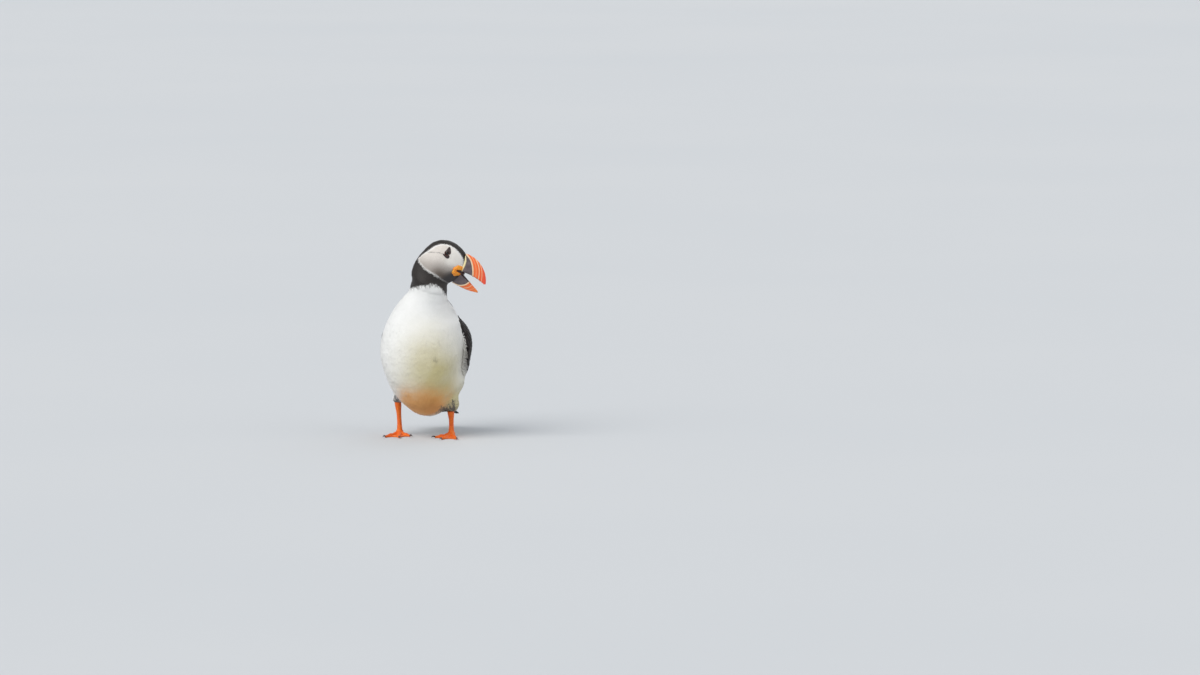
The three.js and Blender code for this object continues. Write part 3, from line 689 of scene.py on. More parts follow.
depth = coat_depth(surface_head, markings(surface_points)["face"])
eye_distance = distance_from_eye(surface_head)
beside_eye = np.abs(surface_head[:, 1]) > 8
depth -= LID_HEIGHT * bump_of(eye_distance - 3.3, 0.8) * beside_eye
depth += SOCKET_DEPTH * (1 - step(eye_distance, 2.1, 3.1)) * beside_eye
depth += FOLD_DEPTH * fold_depth(surface_head) * beside_eye
skin_points = surface_points - surface_normals * (depth + SWELL)[:, None] * MM
skin_mesh = reshaped(surface.copy(), skin_points)
print("coat depth from", round(depth.min(), 2), "to", round(depth.max(), 2), "mm")

# %% [markdown]
# ### What every point of the skin carries
# The skin's points hold the markings, the way the feathers lie and the size they should have. Its corners
# hold their place on the flat unrolled skin, with the cut down the middle of the back. Feathers that grow
# from a point inherit all of this from it.

# %% Lie of the feathers and flat map
def lie(points):
    """The way feathers point: back over the head, then down the body's middle line."""
    x, y, z = to_head(points).T
    backwards = np.stack([-np.ones_like(x), 0.05 * np.sign(y), -0.2 - 0.5 * step(-x, 0, 20)], axis=1)
    backwards = lerp(backwards, np.array([-0.6, 0, -1]), step(-z, 8, 22)[:, None])
    down_body = -line_along[around_body(points)[2]] + np.array([0, 0, -0.25])
    return unit(lerp(down_body, backwards @ HEAD_AXES, step(z, -28, -16)[:, None]))


SKIN_SPAN = (-45.0, 260.0)
MAP_WIDTH = 0.94
MAP_MARGIN = 0.03


def flat_map(points):
    """u round the body and v along it, both within 0 and 1."""
    along, angle, _ = around_body(points)
    u = MAP_MARGIN + MAP_WIDTH * (angle / (2 * math.pi) + 0.5)
    return u, (along - SKIN_SPAN[0]) / (SKIN_SPAN[1] - SKIN_SPAN[0])


def store_places(mesh, points):
    """Each corner's place on the flat map, kept together on the faces that the cut crosses."""
    u, v = flat_map(points)
    corner = whole_numbers(mesh.loops, "vertex_index")
    corner_u = u[corner]
    starts = whole_numbers(mesh.polygons, "loop_start")
    counts = whole_numbers(mesh.polygons, "loop_total")
    face_of = np.repeat(np.arange(len(starts)), counts)
    highest = np.maximum.reduceat(corner_u, starts)[face_of]
    corner_u = np.where(highest - corner_u > MAP_WIDTH / 2, corner_u + MAP_WIDTH, corner_u)
    store(mesh, "place", np.stack([corner_u, v[corner], 0 * corner_u], axis=1), "FLOAT_VECTOR", "CORNER")


WISPS = [("thigh_left", 0, 1.0), ("thigh_left", -9, 1.2), ("thigh_right", 1, 1.0)]


def wisps(points):
    """Loose grey feathers just above both legs."""
    share = np.zeros(len(points))
    for leg, aside, strength in WISPS:
        low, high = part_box(leg)
        knee = np.array([(low.x + high.x) / 2 + aside * MM, low.y + 0.004, low.z + 0.006])
        share = np.maximum(share, strength * np.exp(-(((points - knee) / MM) ** 2 @ [0.008, 0.004, 0.008])))
    return share


def carry(mesh, points):
    for name, share in markings(points).items():
        store(mesh, name, share)
    store(mesh, "wisp", wisps(points))
    store(mesh, "fold", fold_depth(to_head(points)))
    store(mesh, "lie", lie(points), "FLOAT_VECTOR")
    store_places(mesh, points)


carry(skin_mesh, skin_points)
store(skin_mesh, "outwards", surface_normals, "FLOAT_VECTOR")
print("skin carries", len(skin_mesh.attributes), "attributes")

# %% [markdown]
# ## The colour of plumage
# Skin and feathers share one recipe. White, black, face grey and the stains are mixed by the shares that
# each point carries, so a border falls between whole feathers and looks like plumage. Painted light is
# mixed in the same way: a greenish painted shade low on the belly, a warm belly tint that is partly stain
# and partly painted reflected light, brown flanks that are partly painted shade, painted shade on the lower
# face and in the fold behind the eye, and painted light on the front of the face. Every feather has its
# own tone, a little lighter or darker, and black feathers are glossier than white ones.

# %% Plumage finish
WHITE = rgb(0.87, 0.865, 0.85)
SHADED_WHITE = rgb(0.8, 0.8, 0.775)
BLACK = rgb(0.013, 0.01, 0.009)
BROWN_BLACK = rgb(0.028, 0.02, 0.016)
FACE_GREY = rgb(0.66, 0.605, 0.555)
FACE_LIGHT = rgb(0.78, 0.725, 0.675)
# colour of the painted light on the front of the face
LORE_LIGHT_PAINT = rgb(0.9, 0.86, 0.8)
# colour of the painted shade on the lower face
JOWL_SHADE_PAINT = rgb(0.13, 0.1, 0.08)
RIM_WHITE = rgb(0.86, 0.85, 0.83)
DUSKY = rgb(0.05, 0.045, 0.047)
# warm belly tint, partly stain and partly painted reflected light; its deeper colour is partly painted shade
BUFF_STAIN_AND_BOUNCE = rgb(0.76, 0.35, 0.09)
DEEP_BUFF_AND_SHADE = rgb(0.5, 0.2, 0.045)
# colour of the painted greenish shade on the lower belly
OLIVE_SHADE_PAINT = rgb(0.6, 0.53, 0.28)
# brown of the flanks, partly a real tint and partly painted shade
FLANK_BROWN_AND_SHADE = rgb(0.1, 0.08, 0.06)
WISP_GREY = rgb(0.1, 0.095, 0.09)


def plumage(name, on_feathers, **constants):
    finish = Finish(name, **constants)
    tone = finish.attribute("tone") if on_feathers else finish.noise(2.0, 1.0)
    cloud = finish.noise(22.0, 2.0)
    fine = finish.noise(1.1, 2.0)
    white = finish.mix(cloud.step(0.3, 0.75) * 0.6 + tone * 0.4, WHITE, SHADED_WHITE)
    buff = finish.attribute("buff") * (0.35 + cloud * 0.7)
    wisp = (finish.attribute("wisp") + tone * 0.6 + finish.noise(4.0, 1.0) * 0.7).step(1.1, 1.65)
    # real stains, with painted shade and painted reflected light mixed over the white
    stains_and_painted_light = [
        # painted greenish shade and reflected light on the lower belly
        (finish.attribute("grassy") * (0.78 + cloud * 0.45), OLIVE_SHADE_PAINT),
        # warm belly tint, partly stain and partly painted reflected light, deeper where strongest, partly as
        # painted shade
        (buff.step(0.0, 0.6) * 0.92, finish.mix(buff.step(0.35, 1.0), BUFF_STAIN_AND_BOUNCE, DEEP_BUFF_AND_SHADE)),
        (finish.attribute("fleck") * (0.35 + tone * 0.4), WISP_GREY),
        # flank brown, partly a real tint and partly painted shade
        (finish.attribute("smoke") * (0.72 + tone * 0.27), FLANK_BROWN_AND_SHADE),
        (wisp * 0.92, WISP_GREY),
    ]
    for share, tint in stains_and_painted_light:
        white = finish.mix(share, white, tint)
    face = finish.mix(cloud.step(0.25, 0.7) * 0.5 + tone * 0.5, FACE_GREY, FACE_LIGHT)
    shades = [
        # painted light on the front of the face
        (finish.attribute("lore"), LORE_LIGHT_PAINT),
        # painted shade on the lower face
        (finish.attribute("jowl"), JOWL_SHADE_PAINT),
        (finish.attribute("rim") * 0.85, RIM_WHITE),
        (finish.attribute("dusk"), DUSKY),
        # the fold behind the eye is darkened with painted shade
        (finish.attribute("fold").step(0.25, 0.9) * 0.8, DUSKY),
    ]
    for share, shade in shades:
        face = finish.mix(share, face, shade)
    black = finish.mix(tone * 0.6 + fine * 0.4, BLACK, BROWN_BLACK)
    colour = finish.mix(finish.attribute("face"), white, face)
    is_black = finish.attribute("black")
    colour = finish.mix(is_black, colour, black)
    finish.set(base_color=colour, roughness=0.82 - is_black * 0.3)
    finish.set(normal=finish.bump(fine + finish.noise(0.5, 2.0), 0.12, 0.5))
    return finish


skin_finish = plumage("feathered_skin", False, sheen_weight=0.1, sheen_roughness=0.5)
coat_finish = plumage("plumage", True, sheen_weight=0.12, sheen_roughness=0.45)
skin = mesh_piece("skin", skin_mesh, skin_finish)
print("plumage finishes for skin and feathers")

# %% [markdown]
# ## Small feathers
# A body feather is a curved vane whose tip frays into fine locks. One lock is a slim three-sided blade,
# flat below and ridged above, and a feather is a few locks fanned from one root. Black feathers of the
# back end in a firm round tip, so they are one broad blade. A few versions of each are enough, because
# thousands of copies are turned and scaled at random.

# %% Feather shapes
LOCK_ROWS = (0.0, 0.55)
VANE_ROWS = (0.0, 0.3, 0.62, 0.86)


def blade(rows, length, width, height, droop, root_y=0.0, fan=0.0, lane=(0.0, 1.0)):
    """Points, faces and own flat places of a closed blade that lies along X with its ridge up."""
    points, flat = [], []
    for t in (*rows, 1.0):
        if len(rows) > 2:
            half = width / 2 * (1 - (1 - min(t / 0.5, 1)) ** 2 * 0.75) * (1 - max(0, t - 0.5) ** 2 * 2.2)
        else:
            half = width / 2 * (0.75 + 0.25 * math.sin(math.pi * t))
        reach, lift = length * t, -droop * length * t * t
        along = reach * math.cos(fan)
        aside = root_y + reach * math.sin(fan)
        if t == 1.0:
            points.append((along, aside, lift))
            flat.append(((lane[0] + lane[1]) / 2, 1.0, 0))
            break
        points += [(along, aside + half, lift - height * 0.4), (along, aside - half, lift - height * 0.4)]
        points.append((along + 0.04 * length, aside, lift + height * (1 - 0.5 * t)))
        flat += [(lane[0], t, 0), (lane[1], t, 0), ((lane[0] + lane[1]) / 2, t + 0.1, 0)]
    faces = [(0, 1, 2)]
    for row in range(len(rows) - 1):
        a, b = 3 * row, 3 * row + 3
        faces += [(a, b, b + 1, a + 1), (a + 1, b + 1, b + 2, a + 2), (a + 2, b + 2, b, a)]
    last, tip = 3 * (len(rows) - 1), len(points) - 1
    faces += [(last, tip, last + 1), (last + 1, tip, last + 2), (last + 2, tip, last)]
    return points, faces, flat


def feather_object(name, blades):
    points, faces, flat = [], [], []
    for part_points, part_faces, part_flat in blades:
        faces += [tuple(i + len(points) for i in face) for face in part_faces]
        points += [tuple(c * MM for c in p) for p in part_points]
        flat += part_flat
    mesh = raw_mesh(name, points, faces)
    mesh.polygons.foreach_set("use_smooth", [True] * len(faces))
    store(mesh, "leaf", flat, "FLOAT_VECTOR")
    return bpy.data.objects.new(name, mesh)


def frayed_feather(name, locks, length, width, height, spread, droop, chance):
    """A feather of a few locks side by side, fanned and of uneven length."""
    blades = []
    for i in range(locks):
        share = (i + 0.5) / locks - 0.5
        own_length = length * (1 - 0.35 * abs(share)) * chance.uniform(0.88, 1.08)
        own_width = width / locks * 1.5
        fan = share * spread + chance.uniform(-0.04, 0.04)
        lane = (i / locks, (i + 1) / locks)
        blades.append(blade(LOCK_ROWS, own_length, own_width, height, droop, width * share * 0.6, fan, lane))
    return feather_object(name, blades)


def feather_kinds(name, count, make):
    """A collection of slightly different feathers of one kind."""
    chance = np.random.default_rng(7)
    kinds = bpy.data.collections.new(name)
    for i in range(count):
        kinds.objects.link(make(f"{name}_{i}", chance))
    return kinds


body_feathers = feather_kinds("body_feather", 5, lambda name, chance: frayed_feather(
    name, 5, 7.6, 3.4, 0.1, 0.34, 0.06, chance))
face_feathers = feather_kinds("face_feather", 4, lambda name, chance: frayed_feather(
    name, 3, 2.6, 1.1, 0.14, 0.5, 0.08, chance))
back_feathers = feather_kinds("back_feather", 4, lambda name, chance: feather_object(
    name, [blade(VANE_ROWS, 10.5 * chance.uniform(0.93, 1.07), 6.2, 0.22, 0.06)]))
print("feather kinds:", [kinds.name for kinds in (body_feathers, face_feathers, back_feathers)])

# %% [markdown]
# ### Planting the coat
# Geometry Nodes scatter roots over one zone of the skin, no two closer than the spacing, and put a feather
# on each. It stands on the skin's normal, turns to the lie of the coat, and is tilted up by a few degrees
# so that it rests on the feathers behind it. The tree then writes the map for the colour bake: every
# feather is a tiny patch at its root's place on the unrolled skin.

# %% The planting tree
PATCH = 0.003
TREE_INPUTS = [
    ("Skin", "NodeSocketGeometry", None),
    ("Zone", "NodeSocketString", ""),
    ("Feathers", "NodeSocketCollection", None),
    ("Spacing", "NodeSocketFloat", 0.002),
    ("Tilt", "NodeSocketFloat", 0.2),
    ("Unrest", "NodeSocketFloat", 0.1),
    ("Size", "NodeSocketFloat", 1.0),
    ("Seed", "NodeSocketInt", 0),
    ("Finish", "NodeSocketMaterial", None),
]


def planting_tree():
    group = bpy.data.node_groups.new("plant_feathers", "GeometryNodeTree")
    for name, kind, value in TREE_INPUTS:
        socket = group.interface.new_socket(name, in_out="INPUT", socket_type=kind)
        if value is not None:
            socket.default_value = value
    group.interface.new_socket("Coat", in_out="OUTPUT", socket_type="NodeSocketGeometry")
    tree = Nodes(group)
    entry = group.nodes.new("NodeGroupInput")
    given = {name: Value(tree, entry.outputs[name]) for name, _, _ in TREE_INPUTS}

    def named(name, kind="FLOAT"):
        return tree.node("GeometryNodeInputNamedAttribute", {"data_type": kind}, {"Name": name})

    def chance(low, high, seed):
        inputs = {2: low, 3: high, 8: given["Seed"] + seed}
        return tree.node("FunctionNodeRandomValue", {"data_type": "FLOAT"}, inputs, 1)

    spacing = given["Spacing"]
    roots = tree.node("GeometryNodeDistributePointsOnFaces", {"distribute_method": "POISSON"}, {
        "Mesh": given["Skin"],
        "Selection": named(given["Zone"], "BOOLEAN"),
        "Distance Min": spacing,
        "Density Max": 3.2 * spacing ** -2.0,
        "Density Factor": named("cover"),
        "Seed": given["Seed"],
    })
    stand = tree.node("FunctionNodeAxesToRotation", {"primary_axis": "Z", "secondary_axis": "X"}, {
        "Primary Axis": named("outwards", "FLOAT_VECTOR"),
        "Secondary Axis": named("lie", "FLOAT_VECTOR"),
    })
    unrest = given["Unrest"]
    turn = tree.node("ShaderNodeCombineXYZ", None, [
        chance(-1.0, 1.0, 11) * unrest,
        chance(-0.5, 0.5, 12) * unrest - given["Tilt"],
        chance(-1.0, 1.0, 13) * unrest,
    ])
    turn = tree.node("FunctionNodeEulerToRotation", None, [turn])
    stand = tree.node("FunctionNodeRotateRotation", {"rotation_space": "LOCAL"}, [stand, turn])
    tone = {"data_type": "FLOAT", "domain": "POINT"}
    roots = tree.node("GeometryNodeStoreNamedAttribute", tone, {
        "Geometry": roots, "Name": "tone", "Value": chance(0.0, 1.0, 14)})
    kinds = tree.node("GeometryNodeCollectionInfo", None, {
        "Collection": given["Feathers"], "Separate Children": True, "Reset Children": True})
    pick = tree.node("FunctionNodeRandomValue", {"data_type": "INT"}, {4: 0, 5: 99, 8: given["Seed"] + 15}, 2)
    coat = tree.node("GeometryNodeInstanceOnPoints", None, {
        "Points": roots,
        "Instance": kinds,
        "Pick Instance": True,
        "Instance Index": pick,
        "Rotation": stand,
        "Scale": chance(0.85, 1.15, 16) * given["Size"] * named("size"),
    })
    coat = tree.node("GeometryNodeRealizeInstances", None, {"Geometry": coat})
    own = tree.node("ShaderNodeVectorMath", {"operation": "SCALE"}, {
        0: named("leaf", "FLOAT_VECTOR"), "Scale": PATCH})
    patch = tree.node("ShaderNodeVectorMath", {"operation": "ADD"}, [named("place", "FLOAT_VECTOR"), own])
    coat = tree.node("GeometryNodeStoreNamedAttribute", {"data_type": "FLOAT2", "domain": "CORNER"}, {
        "Geometry": coat, "Name": "OFBake", "Value": patch})
    for spent in ("place", "lie", "cover", "size"):
        coat = tree.node("GeometryNodeRemoveAttribute", None, {"Geometry": coat, "Name": spent})
    coat = tree.node("GeometryNodeSetMaterial", None, {"Geometry": coat, "Material": given["Finish"]})
    leave = group.nodes.new("NodeGroupOutput")
    tree.feed(leave.inputs["Coat"], coat)
    return group


feather_planter = planting_tree()
print("planting tree:", len(feather_planter.nodes), "nodes")

# %% [markdown]
# ### Zones of the coat
# Feathers are smallest on the face and longest on belly and back, so the skin is divided into zones, each
# planted with its own kind, spacing and tilt. Zones also keep each piece light enough to hand on. Nothing
# grows on the eyes and the bare skin at the corners of the mouth, nor deep under the folded wings.

# %% Bare places and covered places
ROSETTE = {"x": 26.0, "z": -2.4, "reach": 5.2}


def tree_of(names):
    """A search tree over the triangles of some CAD nodes."""
    points, faces = [], []
    for name in names:
        mesh = nodes[name].data
        faces += [[i + len(points) for i in face.vertices] for face in mesh.polygons]
        points += [v.co for v in mesh.vertices]
    return BVHTree.FromPolygons(points, faces)


def under_wing(points, normals):
    """1 where a folded wing lies over the skin."""
    wings = tree_of(["wing_left", "wing_right"])
    share = np.zeros(len(points))
    for i in np.nonzero(points[:, 2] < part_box("wing_left")[1].z)[0]:
        hit = wings.ray_cast(Vector(points[i]), Vector(normals[i]), 0.012)
        share[i] = 1.0 if hit[0] else 0.0
    return share


skin_head = to_head(skin_points)
at_eye = (distance_from_eye(skin_head) < 3.5) & (np.abs(skin_head[:, 1]) > 7)
at_rosette = np.hypot(skin_head[:, 0] - ROSETTE["x"], skin_head[:, 2] - ROSETTE["z"]) < ROSETTE["reach"]
at_bill = (skin_head[:, 0] > 31.5) & (skin_head[:, 2] > -21)
covered = smoothed(skin_mesh, under_wing(skin_points, surface_normals), 4) > 0.96
cover = np.where(at_eye | at_rosette | at_bill | covered, 0.0, 1.0)
store(skin_mesh, "cover", cover)
face_size = lerp(1.0, 0.72, step(skin_head[:, 0], 12, 28) * step(skin_head[:, 2], -22, -12))
face_size = np.where(skin_head[:, 2] > -20, face_size, 1.0)
store(skin_mesh, "size", face_size)
print("bare or covered points:", int((cover == 0).sum()), "of", len(cover))

# %% Zones
face_middles = np.array([polygon.center for polygon in skin_mesh.polygons])
zone_head = to_head(face_middles)
zone_marks = markings(face_middles)
_, zone_angle, _ = around_body(face_middles)
zone_turn = np.abs(np.degrees(zone_angle))
zone_z = face_middles[:, 2] / MM
is_head = zone_head[:, 2] > -19
is_white = (zone_marks["black"] < 0.5) & ~is_head
is_back = ~is_white & ~is_head & (zone_z < 158) & (zone_turn > 60)
at_thigh = wisps(face_middles) > 0.35
zones = {
    "face_coat": is_head & (zone_marks["face"] > 0.5),
    "cap_coat": is_head & (zone_marks["face"] <= 0.5),
    "collar_coat": ~is_white & ~is_head & ~is_back,
    "breast_coat": is_white & (zone_z > 134),
    "chest_coat": is_white & (zone_z <= 134) & (zone_z > 104),
    "flank_coat": is_white & (zone_z <= 104) & (zone_z > 74),
    "belly_coat": is_white & (zone_z <= 74) & (zone_z > 47) & ~at_thigh,
    "vent_coat": is_white & (zone_z <= 47) & ~at_thigh,
    "thigh_coat": is_white & (zone_z <= 74) & at_thigh,
    "back_coat": is_back,
}
for name, share in zones.items():
    store(skin_mesh, name, share, "BOOLEAN", "FACE")
    print(name, int(share.sum()), "skin faces")

# %% Planting
# each zone: kind of feather, spacing in mm, tilt and unrest in degrees, size, slot
COATS = {
    "face_coat": (face_feathers, 0.66, 8, 6, 1.0, "face_plumage"),
    "cap_coat": (face_feathers, 0.72, 9, 7, 1.15, "black_plumage"),
    "collar_coat": (body_feathers, 0.95, 6, 3, 0.5, "black_plumage"),
    "breast_coat": (body_feathers, 0.98, 4.6, 1.4, 0.8, "white_plumage"),
    "chest_coat": (body_feathers, 1.02, 4.4, 1.4, 0.88, "white_plumage"),
    "flank_coat": (body_feathers, 1.05, 4.4, 1.5, 0.95, "white_plumage"),
    "belly_coat": (body_feathers, 1.1, 4.6, 2, 0.95, "white_plumage"),
    "vent_coat": (body_feathers, 1.2, 6, 4, 0.95, "white_plumage"),
    "thigh_coat": (body_feathers, 0.95, 9, 12, 0.85, "white_plumage"),
    "back_coat": (back_feathers, 1.9, 5, 2.5, 0.85, "black_plumage"),
}
SOFTNESS = 0.86


def soften(mesh):
    """Turns the shading of feathers towards the body's own surface, as down scatters light between them."""
    outwards = np.zeros(len(mesh.vertices) * 3)
    mesh.attributes["outwards"].data.foreach_get("vector", outwards)
    blend = unit(lerp(point_array(mesh, "normal"), outwards.reshape(-1, 3), SOFTNESS))
    mesh.attributes.remove(mesh.attributes["outwards"])
    mesh.normals_split_custom_set_from_vertices([tuple(normal) for normal in blend])


def plant(zone, seed, kind, spacing, tilt, unrest, size, slot):
    """One zone of the coat as a plain mesh."""
    field = bpy.data.objects.new(zone, skin_mesh)
    bpy.context.scene.collection.objects.link(field)
    modifier = field.modifiers.new("plant", "NODES")
    modifier.node_group = feather_planter
    wanted = {
        "Zone": zone,
        "Feathers": kind,
        "Spacing": spacing * MM,
        "Tilt": math.radians(tilt),
        "Unrest": math.radians(unrest),
        "Size": size,
        "Seed": seed,
        "Finish": coat_finish.material,
    }
    for socket in feather_planter.interface.items_tree:
        if socket.name in wanted:
            modifier[socket.identifier] = wanted[socket.name]
    mesh = evaluated(field)
    bpy.data.objects.remove(field)
    piece = mesh_piece(zone, mesh, coat_finish)
    soften(mesh)
    done(piece, slot)


for seed, (zone, how) in enumerate(COATS.items(), 1):
    plant(zone, seed, *how)
for zone in COATS:
    skin_mesh.attributes.remove(skin_mesh.attributes[zone])
done(skin, "white_plumage", *FLESH)

# %% [markdown]
# ## The bill
# A puffin's bill is two deep, narrow halves of horn. The sides carry raised pale ridges with grooves
# between them: a slate-grey plate behind the first ridge, orange-red horn before it, and a band of pale
# yellow horny skin, the cere, where the bill meets the face. Each half is made as rings that run from the
# base to the tip between two curves, its cutting edge and its ridge. The ridges are then raised out of
# that fine mesh, by their distance from a few curves drawn on the side of the bill.

# %% Curves of the bill, in the head's own axes
CULMEN = {"x": 28.2, "z": -14.2, "radius": 32.5, "start": 87, "end": 9}
BILL_HALF_WIDTH = 7.4
BILL_TIP_HALF_WIDTH = 1.3
UPPER_EDGE = {"start": (32.6, -2.6), "end_x": 58.6, "drop": 7.2}
LOWER_EDGE = {"start": (31.4, -6.2), "end": (53.6, -19.6)}
KEEL = {"start": (24.2, -18.4), "end": (54.0, -21.2), "sag": 1.6}
CERE_LINE = [(31.0, -3), (31.4, 0.1), (32.2, 5), (32.2, 10.3), (30.2, 15.2), (26.6, 19.5)]
UPPER_RIDGE = [(44.2, -6), (43.7, -2.6), (42.1, 3.1), (39.6, 8.5), (35.9, 13.5), (30.1, 17.5), (26, 20)]
UPPER_GROOVES = [
    ([(47.6, -8), (47.2, -3), (46.4, 1), (44.3, 7), (40.9, 12.2), (36.5, 16.8), (33, 19)], 0.6),
    ([(51, -9), (50.8, -4.7), (50.2, -0.3), (48.2, 6.4), (44.6, 12), (40, 16.9)], 1.0),
    ([(54.8, -11), (54.4, -5), (53.2, 1), (50.9, 6.8), (47.3, 12.2)], 0.75),
]
LOWER_RIDGE = [(20, -17.6), (23.9, -18.1), (30.4, -19), (35.5, -17.6), (39.4, -14.9), (42.4, -11)]
LOWER_GROOVES = [
    ([(34, -21.4), (39.5, -19.6), (43.2, -17.2), (46, -13.6)], 0.8),
    ([(40, -22), (44.5, -20.2), (48, -18), (50, -15.6)], 0.6),
]


def culmen(w):
    angle = math.radians(lerp(CULMEN["start"], CULMEN["end"], 0.45 * w * w + 0.55 * w - 0.35 * w * (1 - w)))
    reach = CULMEN["radius"]
    return np.array([CULMEN["x"] + reach * math.cos(angle), 0, CULMEN["z"] + reach * math.sin(angle)])


def upper_edge(w):
    x, z = UPPER_EDGE["start"]
    return np.array([lerp(x, UPPER_EDGE["end_x"], w), 0, z - UPPER_EDGE["drop"] * max(w, 0) ** 1.8])


def lower_edge(w):
    (x, z), (end_x, end_z) = LOWER_EDGE["start"], LOWER_EDGE["end"]
    return np.array([lerp(x, end_x, w), 0, lerp(z, end_z, w)])


def keel(w):
    reach = max(w, 0) ** 1.5 + min(w, 0)
    (x, z), (end_x, end_z) = KEEL["start"], KEEL["end"]
    sag = KEEL["sag"] * math.sin(math.pi * max(reach, 0))
    return np.array([lerp(x, end_x, reach), 0, lerp(z, end_z, reach) - sag])


def bill_ring(w, edge, ridge, hollow, sides=24):
    """One closed ring round half a bill: up its left side, down its right, and back through the mouth."""
    low, high = edge(w), ridge(w)
    rise = high - low
    bow = 2.4 * (1 - w) * step(w, 0, 0.2)
    half = lerp(BILL_HALF_WIDTH, BILL_TIP_HALF_WIDTH, max(w, 0.0) ** 0.85)
    half *= 1 - 0.12 * step(-w, 0, 0.1)
    left = []
    for i in range(sides + 1):
        q = (i / sides) ** 0.85
        rounding = math.sqrt(max(0.0, 1 - max(0, (q - 0.86) / 0.14) ** 2))
        lip = 1 - 0.25 * (1 - min(q / 0.05, 1)) ** 2
        width = half * (1 - 0.66 * q ** 1.25) * rounding * lip
        left.append(low + rise * q + np.array([bow * math.sin(math.pi * q), width, 0]))
    right = [point * [1, -1, 1] for point in reversed(left[:-1])]
    mouth = []
    for s in np.linspace(-0.8, 0.8, 9):
        depth = hollow * (1 - (s / 0.9) ** 2)
        mouth.append(low + rise * depth + np.array([0, s * half * 0.75, 0]))
    return left + right + mouth


def bill_half(edge, ridge, hollow, rings, base=-0.1):
    """Points in the head's axes and faces of a closed half of the bill."""
    places = lerp(base, 1.0, np.linspace(0, 1, rings + 1) ** 0.95)
    return closed_tube([bill_ring(w, edge, ridge, hollow) for w in places])


def closed_tube(loops, joined=False):
    """Joins rings of equal length into one closed surface, end to end or with a fan at each end."""
    count, rings = len(loops[0]), len(loops)
    points = [point for loop in loops for point in loop]
    sides = [(i, (i + 1) % count) for i in range(count)]
    faces = []
    for row in range(rings if joined else rings - 1):
        own, after = row * count, (row + 1) % rings * count
        faces += [(own + a, own + b, after + b, after + a) for a, b in sides]
    for row, turn in () if joined else ((0, 1), (rings - 1, -1)):
        points.append(np.mean(loops[row], axis=0))
        faces += [(row * count + a, len(points) - 1, row * count + b)[::turn] for a, b in sides]
    return np.array(points), faces


def outward_mesh(name, points, faces):
    """A closed mesh from points in the head's axes, with every face turned outwards."""
    return turned_outwards(raw_mesh(name, from_head(points), faces))


def from_line(x, z, knots, fineness=80):
    """Distance in mm from a smooth line on the bill's side, positive towards the tip."""
    line_x, line_z = through(knots, np.linspace(0, len(knots) - 1, fineness)).T
    near = np.argmin((x[:, None] - line_x) ** 2 + (z[:, None] - line_z) ** 2, axis=1)
    gap = np.hypot(x - line_x[near], z - line_z[near])
    dx, dz = np.gradient(line_x)[near], np.gradient(line_z)[near]
    sign = np.sign((x - line_x[near]) * dz - (z - line_z[near]) * dx)
    return gap * np.where(sign == 0, 1, sign)


RIDGE_HEIGHT = 0.42
RIDGE_HALF_WIDTH = 0.85
GROOVE_DEPTH = 0.3
GROOVE_HALF_WIDTH = 0.4
GROOVE_LIP = 0.16
CERE_HEIGHT = 0.5


def shaped_horn(name, half, ridge_line, grooves, cere_line=None):
    """Half a bill with its ridges raised, and the shares of its colours stored on its points."""
    points, faces = half
    mesh = outward_mesh(name, points, faces)
    x, y, z = points.T
    outside = step(np.abs(y), 0.1, 0.5)
    ridge = from_line(x, z, ridge_line)
    pale = np.exp(-(ridge / RIDGE_HALF_WIDTH) ** 4)
    relief = RIDGE_HEIGHT * pale - GROOVE_LIP * bump_of(np.abs(ridge) - 1.3, 0.5)
    for knots, strength in grooves:
        gap = from_line(x, z, knots)
        lip, groove = bump_of(gap - 0.55, GROOVE_HALF_WIDTH), bump_of(gap, GROOVE_HALF_WIDTH)
        relief = relief + strength * (GROOVE_LIP * lip - GROOVE_DEPTH * groove)
        pale = np.maximum(pale, strength * bump_of(gap, 0.5))
    cere = np.zeros_like(x)
    if cere_line:
        gap = from_line(x, z, cere_line)
        cere = 1 - step(gap, -0.25, 0.25)
        relief = relief + CERE_HEIGHT * cere * bump_of(gap + 1.1, 1.1)
    normals = point_array(mesh, "normal")
    reshaped(mesh, from_head(points) + normals * (relief * outside)[:, None] * MM)
    plate = 1 - step(ridge, -0.5, 0.5)
    reach = np.clip((x - 30) / 30, 0, 1)
    for share_name, share in (("plate", plate), ("pale", pale), ("cere", cere), ("reach", reach)):
        store(mesh, share_name, share)
    return mesh


# %% [markdown]
# Horn is hard and satin. Its colour is mixed from the stored shares: slate on the plate, pale on the
# ridges, and an orange that deepens to red towards the tip. Fine growth lines and worn patches keep it
# from looking like painted plastic.

# %% Horn finish
SLATE = rgb(0.09, 0.068, 0.075)
SLATE_LIGHT = rgb(0.16, 0.122, 0.128)
ORANGE = rgb(0.9, 0.16, 0.03)
RED = rgb(0.82, 0.075, 0.035)
PALE_HORN = rgb(0.9, 0.62, 0.38)
CERE_YELLOW = rgb(0.88, 0.76, 0.42)
LOWER_TIP = rgb(0.9, 0.36, 0.08)


